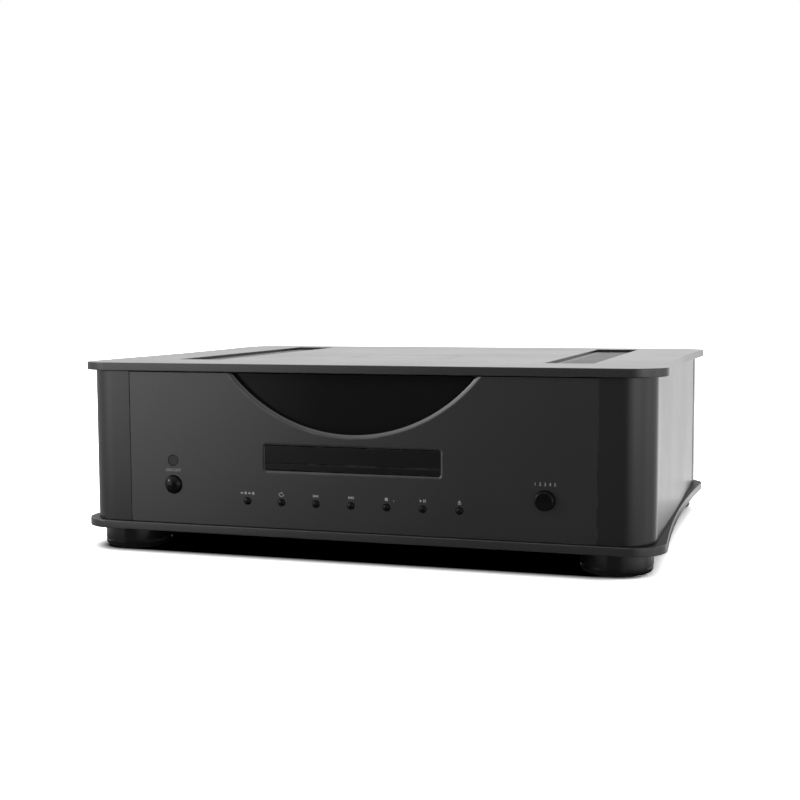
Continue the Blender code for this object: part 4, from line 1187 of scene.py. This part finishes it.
class PLAYER_OT_marks(bpy.types.Operator):
    """Print the plain symbols and figures over the controls"""

    bl_idname = "player.marks"
    bl_label = "Printed marks"

    def execute(self, context):
        level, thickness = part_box("front_panel")[0].y, 0.0001
        row = middle("stop_button").z + 0.0059
        at = {name: middle(f"{name}_button").x for name in BUTTONS}
        half, thin = 0.0011, 0.0003
        outlines = []
        x = at["display"]
        for i in range(4):
            outlines.append(bar_mark(x - 0.0045 + 0.0030 * i, row, 0.0009, 0.0009 if i % 2 else 0.0006))
        outlines += loop_mark(at["repeat"], row)
        for name, way in (("previous", -1), ("next", 1)):
            x = at[name]
            outlines.append(triangle(x - way * 0.0010, row, half, way))
            outlines.append(triangle(x + way * 0.0008, row, half, way))
            outlines.append(bar_mark(x + way * 0.0019, row, 0.00025, half))
        outlines.append(bar_mark(at["stop"], row, half, half))
        outlines.append(bar_mark(at["stop"] + 0.0055, row - 0.001, thin, thin))
        x = at["play"]
        outlines += [triangle(x - 0.0012, row, half, 1), bar_mark(x + 0.0008, row, thin, half)]
        outlines.append(bar_mark(x + 0.0020, row, thin, half))
        x = at["eject"]
        outlines.append([(x - 0.0012, row - 0.0001), (x + 0.0012, row - 0.0001), (x, row + 0.0016)])
        outlines.append(bar_mark(x, row - 0.0010, 0.0012, thin))
        shape = bmesh.new()
        for outline in outlines:
            add_prism(shape, outline, "Y", *around(level, thickness / 2))
        bmesh.ops.recalc_face_normals(shape, faces=shape.faces)
        for text, height, node_name, rise in (
            ("ON/OFF", 0.0023, "power_button", 0.0107),
            ("1 2 3 4 5", 0.0024, "selector_knob", 0.0110),
        ):
            centre = middle(node_name)
            mesh = text_mesh(text, height, (centre.x, centre.z + rise), level)
            shape.from_mesh(mesh)
            bpy.data.meshes.remove(mesh)
        bmesh.ops.remove_doubles(shape, verts=shape.verts, dist=1e-7)
        made = raw_object("printed_marks", shape)
        attach(made, printed(), "chassis")
        return {"FINISHED"}


# Back


class PLAYER_OT_sockets(bpy.types.Operator):
    """Make the mains inlet and the sound sockets"""

    bl_idname = "player.sockets"
    bl_label = "Rear sockets"

    def execute(self, context):
        self.inlet()
        for name, colour in (
            ("left_output_socket", (0.75, 0.75, 0.74)),
            ("right_output_socket", (0.45, 0.015, 0.012)),
            ("digital_output_socket", (0.50, 0.16, 0.01)),
        ):
            self.socket(name, colour)
        return {"FINISHED"}

    def inlet(self):
        """Flanged inlet with an open socket, and its three pins."""
        x, y, z = spans("power_inlet")
        cx, cz = centre_of(x, z)
        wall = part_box("rear_panel")[1].y + GAP
        shape = body_of_shapes(
            (add_prism, rounded_rectangle(x, z, 0.003), "Y", wall, y[1]),
            (add_block, around(cx, 0.0135), (y[0], wall + 0.0005), around(cz, 0.0098)),
        )
        (left, right), (low, high) = around(cx, 0.0121), around(cz, 0.0081)
        slope, (near, far) = cz + 0.0040, around(cx, 0.0080)
        hollow = [(left, low), (right, low), (right, slope), (far, high), (near, high), (left, slope)]
        bottom, tips = 0.149, 0.161
        cut = body_of_shapes((add_prism, hollow, "Y", bottom, y[1] + OVER))
        piece("inlet_housing", shape, moulded(), "chassis", ["power_inlet"], [cut])
        pins = bmesh.new()
        for dx, dz in ((-0.0070, -0.0012), (0.0070, -0.0012), (0.0, 0.0026)):
            add_block(pins, around(cx + dx, 0.0010), (bottom - 0.0005, tips), around(cz + dz, 0.002))
        piece("inlet_pins", pins, zinc(), "chassis", (), (), 0.0004)

    def socket(self, name, colour):
        """Gold plated socket on a coloured insulating ring."""
        x, y, z = spans(name)
        centre = centre_of(x, z)
        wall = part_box("rear_panel")[1].y + GAP
        collar, end = wall + 0.0016, y[1]
        body, flange, outer, sleeve, bore, bottom = 0.0050, 0.0055, 0.0042, 0.0034, 0.0018, 0.1665
        profile = [(0, y[0]), (body, y[0]), (body, wall), (flange, wall), (flange, collar)]
        profile += [(outer, collar), (outer, end - 0.0003), (outer - 0.0003, end), (sleeve, end)]
        profile += [(sleeve, end - 0.0010), (bore, end - 0.0010), (bore, bottom), (0, bottom)]
        shape = body_of_shapes((add_turned, profile, "Y", centre, 56))
        piece(f"{name}_plated", shape, gold(), "chassis", [name])
        material = finish(f"insulator_{name}", colour, 0.3, drift=0.1, patches=200.0, depth=0.000005)
        ring = bmesh.new()
        low, inside, outside, sides = wall + 0.0001, 0.0057, 0.0065, 56
        section = [(inside, low), (outside, low), (outside, wall + 0.0012)]
        section += [(0.0060, collar), (inside, collar)]
        rings = []
        for i in range(sides):
            angle = math.tau * i / sides
            rings.append([
                (centre[0] + radius * math.cos(angle), level, centre[1] + radius * math.sin(angle))
                for radius, level in section
            ])
        join_rings(ring, rings, closed=True)
        piece(f"{name}_ring", ring, material)


class PLAYER_OT_fasteners(bpy.types.Operator):
    """Set the screws in the underside and the back"""

    bl_idname = "player.fasteners"
    bl_label = "Screws"

    def execute(self, context):
        tree = screw_tree()
        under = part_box("bottom_plate")[0].z
        centre_y = 0.001
        spots = []
        for _, sx in SIDES:
            for _, sy in ENDS:
                spots.append((sx * 0.196, centre_y + sy * 0.111, under))
                spots.append((sx * 0.148, centre_y + sy * 0.157, under))
            spots.append((sx * 0.148, centre_y, under))
        self.screws("underside_screws", tree, spots, (math.pi, 0.0, 0.0), (0.0034, 0.0009, 0.0016))
        x, y, z = spans("rear_panel")
        inset, inner = 0.008, 0.058
        columns = (x[0] + inset, -inner, inner, x[1] - inset)
        spots = [(px, y[1], pz) for px in columns for pz in widened(z, -inset)]
        self.screws("rear_screws", tree, spots, (-math.pi / 2, 0.0, 0.0), (0.0030, 0.0016, 0.0014))
        inlet = middle("power_inlet")
        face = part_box("power_inlet")[1].y
        spots = [(px, face, inlet.z) for px in around(inlet.x, 0.0196)]
        self.screws("inlet_screws", tree, spots, (-math.pi / 2, 0.0, 0.0), (0.0026, 0.0013, 0.0012))
        return {"FINISHED"}

    def screws(self, name, tree, spots, turn, sizes):
        """One group of screws, sunk a little into what they hold."""
        values = dict(zip(("Radius", "Height", "Socket"), sizes))
        values |= {"Turn": turn, "Material": dark_steel()}
        made = grown(name, spots, tree, values)
        even_shading(made, 35)
        attach(made, dark_steel(), "chassis")


# Inside


class PLAYER_OT_inner_parts(bpy.types.Operator):
    """Paint the CAD parts that stay as they are"""

    bl_idname = "player.inner_parts"
    bl_label = "Inner parts"

    def execute(self, context):
        paint = {
            zinc: ("transport_base", "loading_motor", "clamp_bridge", "traverse_plate", "spindle_motor",
                   "sled_screw", "sled_guide_rod", "selector_plunger"),
            moulded: ("left_tray_rail", "right_tray_rail", "clamp_puck", "turntable", "optical_sled",
                      "display_module", "power_transformer"),
            circuit: ("control_board", "audio_board", "power_board"),
            gold: ("motor_pulley",),
            nylon: ("loading_gear",),
            rubber: ("loading_belt",),
            smoked: ("lens",),
        }
        for maker, names in paint.items():
            for name in names:
                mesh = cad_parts[name].data
                mesh.materials.clear()
                mesh.materials.append(maker())
        return {"FINISHED"}


# Studio


# Levels of the studio at azimuths in degrees, 0 in front and +90 at the right
HORIZON = (
    (-180, 1.15), (-150, 1.05), (-130, 0.50), (-110, 0.55), (-90, 0.75), (-70, 1.15), (-48, 2.70),
    (-28, 3.15), (-21, 0.28), (-8, 0.17), (14, 0.28), (28, 1.50), (42, 2.80), (56, 2.60), (72, 1.90),
    (94, 2.10), (115, 1.20), (140, 0.80), (160, 1.20), (180, 1.15),
)
TABLE = (
    (-180, 1.30), (-150, 1.10), (-130, 0.55), (-70, 0.45), (-48, 0.35), (-28, 0.33), (-21, 0.12),
    (14, 0.13), (62, 0.80), (92, 1.10), (115, 0.70), (140, 0.80), (160, 1.35), (180, 1.30),
)


def level_ramp(tree, share, stops):
    """Levels round the compass, as a ramp at half their value and doubled again."""
    ramp = node(tree, "ShaderNodeValToRGB", [("Fac", share)])
    elements = ramp.color_ramp.elements
    while len(elements) < len(stops):
        elements.new(0.5)
    for element, (degrees, value) in zip(elements, stops):
        element.position = degrees / 360 + 0.5
        half = value / 2
        element.color = (half, half, half, 1.0)
    return scaled(tree, ramp.outputs["Color"], 2.0)


def surroundings(level):
    """World: white to the camera, and soft studio walls to everything else."""
    world = bpy.data.worlds.new("studio")
    bpy.context.scene.world = world
    world.use_nodes = True
    tree = world.node_tree
    tree.nodes.clear()
    ray = node(tree, "ShaderNodeTexCoord").outputs["Generated"]
    parts = node(tree, "ShaderNodeSeparateXYZ", [("Vector", ray)])
    front = calculate(tree, "MULTIPLY", parts.outputs["Y"], -1.0)
    azimuth = calculate(tree, "ARCTAN2", parts.outputs["X"], front)
    share = map_range(tree, azimuth, (-math.pi, math.pi), (0.0, 1.0))
    rise = map_range(tree, parts.outputs["Z"], (-0.165, -0.07), (0.0, 1.0))
    height = map_range(tree, parts.outputs["Z"], (0.15, 0.60), (0.0, 1.0))
    overhead = map_range(tree, parts.outputs["X"], (-0.60, 0.60), (1.40, 0.75))
    walls = blend(tree, rise, level_ramp(tree, share, TABLE), level_ramp(tree, share, HORIZON))
    room = blend(tree, height, walls, overhead)
    studio = node(tree, "ShaderNodeBackground", [("Color", room), ("Strength", level)])
    white = node(tree, "ShaderNodeBackground", [("Color", (1.0, 1.0, 1.0, 1.0)), ("Strength", 1.0)])
    path = node(tree, "ShaderNodeLightPath")
    links = [("Fac", path.outputs["Is Camera Ray"]), (1, studio.outputs[0]), (2, white.outputs[0])]
    seen = node(tree, "ShaderNodeMixShader", links)
    node(tree, "ShaderNodeOutputWorld", [("Surface", seen.outputs[0])])


def footprint_distance(tree):
    """How far a point of the floor lies outside the case's rounded outline, negative under the case."""
    x, y, _ = spans("bottom_plate")
    radius, short = 0.03, 0.02  # the painted shadow ends short of the right side
    x = (x[0], x[1] - short)
    centre_x, centre_y = centre_of(x, y)
    corner = ((x[1] - x[0]) / 2 - radius, (y[1] - y[0]) / 2 - radius, 1.0)
    moved = reckon(tree, "ADD", object_place(tree), (-centre_x, -centre_y, 0.0))
    folded = reckon(tree, "ABSOLUTE", moved)
    beyond = reckon(tree, "SUBTRACT", folded, corner)
    outside = reckon(tree, "MAXIMUM", beyond, (0.0, 0.0, 0.0))
    away = node(tree, "ShaderNodeVectorMath", [("Vector", outside)], operation="LENGTH").outputs["Value"]
    parts = node(tree, "ShaderNodeSeparateXYZ", [("Vector", beyond)]).outputs
    deepest = calculate(tree, "MAXIMUM", parts["X"], parts["Y"])
    within = calculate(tree, "MINIMUM", deepest, 0.0)
    return calculate(tree, "SUBTRACT", calculate(tree, "ADD", away, within), radius)


class PLAYER_OT_stage(bpy.types.Operator):
    """Set the floor, the lamp, the surroundings and the camera"""

    bl_idname = "player.stage"
    bl_label = "Studio"

    def execute(self, context):
        stage = context.scene.player_stage
        context.scene.view_settings.view_transform = "Standard"
        surroundings(stage.ambient)
        self.key_lamp(stage.key_power)
        self.floor(stage)
        self.camera(context)
        return {"FINISHED"}

    def key_lamp(self, power):
        """A soft square lamp at the left front that looks at the case."""
        place, aim = Vector((-2.00, -1.25, 0.98)), Vector((0.0, 0.0, 0.05))
        data = bpy.data.lights.new("key_lamp", "AREA")
        data.size = 0.62
        data.energy = power
        lamp = bpy.data.objects.new("key_lamp", data)
        lamp.location = place
        lamp.rotation_euler = (place - aim).to_track_quat("Z", "Y").to_euler()
        bpy.context.scene.collection.objects.link(lamp)

    def floor(self, stage):
        """Pale floor, white in the open to the camera, with a painted shadow under the case; mirrored rays
        see it painted dark grey near the case, and away from the case they pass through it.
        """
        half, top = 20.0, -0.0001
        shape = body_of_shapes((add_block, (-half, half), (-half, half), (top - 0.01, top)))
        made = raw_object("floor", shape)
        material = bpy.data.materials.new("floor")
        material.use_nodes = True
        tree = material.node_tree
        shader = tree.nodes["Principled BSDF"]
        shader.inputs["Roughness"].default_value = 1.0
        shader.inputs["Specular IOR Level"].default_value = 0.0
        path = node(tree, "ShaderNodeLightPath").outputs
        seen, mirrored = path["Is Camera Ray"], path["Is Glossy Ray"]
        distance = footprint_distance(tree)
        # painted shadow: to the camera the floor is black under the case and fades to the seen floor colour
        # just outside it
        painted_shadow = map_range(tree, distance, (-0.012, 0.014), (0.0, 1.0))
        to_camera = blend(tree, painted_shadow, (0.0, 0.0, 0.0, 1.0), (*stage.seen_floor, 1.0))
        # painted shade in reflections: mirrored rays see the floor near the case painted dark grey
        to_others_painted_shade = blend(tree, mirrored, (*stage.floor, 1.0), (0.07, 0.07, 0.07, 1.0))
        tree.links.new(blend(tree, seen, to_others_painted_shade, to_camera), shader.inputs["Base Color"])
        far = map_range(tree, distance, (0.008, 0.062), (0.0, 1.0))
        normal = node(tree, "ShaderNodeNewGeometry").outputs["Normal"]
        facing = node(tree, "ShaderNodeSeparateXYZ", [("Vector", normal)]).outputs["Z"]
        from_below = calculate(tree, "MULTIPLY", calculate(tree, "LESS_THAN", facing, 0.0), seen)
        hidden = calculate(tree, "MAXIMUM", calculate(tree, "MULTIPLY", mirrored, far), from_below)
        clear = node(tree, "ShaderNodeBsdfTransparent")
        links = [("Fac", hidden), (1, shader.outputs[0]), (2, clear.outputs[0])]
        surface = node(tree, "ShaderNodeMixShader", links)
        tree.links.new(surface.outputs[0], tree.nodes["Material Output"].inputs["Surface"])
        made.data.materials.append(material)

    def camera(self, context):
        """Camera at the place worked out from the edges of the case."""
        yaw, pitch, roll = math.radians(17.63), math.radians(4.54), math.radians(-0.27)
        ahead = Vector((-math.sin(yaw) * math.cos(pitch), math.cos(yaw) * math.cos(pitch), -math.sin(pitch)))
        level = Vector((math.cos(yaw), math.sin(yaw), 0.0))
        upright = level.cross(ahead)
        right = math.cos(roll) * level + math.sin(roll) * upright
        up = math.cos(roll) * upright - math.sin(roll) * level
        data = bpy.data.cameras.new("camera")
        data.sensor_width = 36.0
        data.lens = 57.372
        data.clip_end = 100.0
        eye = bpy.data.objects.new("camera", data)
        turn = Matrix((right, up, -ahead)).transposed().to_4x4()
        place = (0.3060, -1.0160, 0.1890)
        eye.matrix_world = Matrix.Translation(place) @ turn
        context.scene.collection.objects.link(eye)
        context.scene.camera = eye


# Panel and registration


class PLAYER_PT_panel(bpy.types.Panel):
    """Lists the steps that dress the player"""

    bl_idname = "PLAYER_PT_panel"
    bl_label = "Disc player"
    bl_space_type = "VIEW_3D"
    bl_region_type = "UI"
    bl_category = "Disc player"

    def draw(self, context):
        for group, _ in GROUPS:
            settings = getattr(context.scene, group)
            for name in settings.__annotations__:
                self.layout.prop(settings, name)
        for operator in OPERATORS:
            self.layout.operator(operator.bl_idname)


GROUPS = (
    ("player_case", CaseSettings),
    ("player_front", FrontSettings),
    ("player_vents", VentSettings),
    ("player_controls", ControlSettings),
    ("player_stage", StageSettings),
)
OPERATORS = (
    PLAYER_OT_covers, PLAYER_OT_inlay, PLAYER_OT_fascia, PLAYER_OT_posts, PLAYER_OT_walls, PLAYER_OT_vents,
    PLAYER_OT_feet, PLAYER_OT_display, PLAYER_OT_drawer, PLAYER_OT_power_button, PLAYER_OT_selector,
    PLAYER_OT_push_buttons, PLAYER_OT_marks, PLAYER_OT_sockets, PLAYER_OT_fasteners, PLAYER_OT_inner_parts,
    PLAYER_OT_stage,
)


def register():
    """Registers the settings, the operators and the panel."""
    for name, group in GROUPS:
        bpy.utils.register_class(group)
        setattr(bpy.types.Scene, name, PointerProperty(type=group))
    for operator in OPERATORS:
        bpy.utils.register_class(operator)
    bpy.utils.register_class(PLAYER_PT_panel)


def unregister():
    """Takes them back in the opposite order."""
    bpy.utils.unregister_class(PLAYER_PT_panel)
    for operator in reversed(OPERATORS):
        bpy.utils.unregister_class(operator)
    for name, group in reversed(GROUPS):
        delattr(bpy.types.Scene, name)
        bpy.utils.unregister_class(group)


def main():
    """Dresses the whole player."""
    register()
    for operator in OPERATORS:
        section, step = operator.bl_idname.split(".")
        getattr(getattr(bpy.ops, section), step)()


if __name__ == "__main__":
    main()
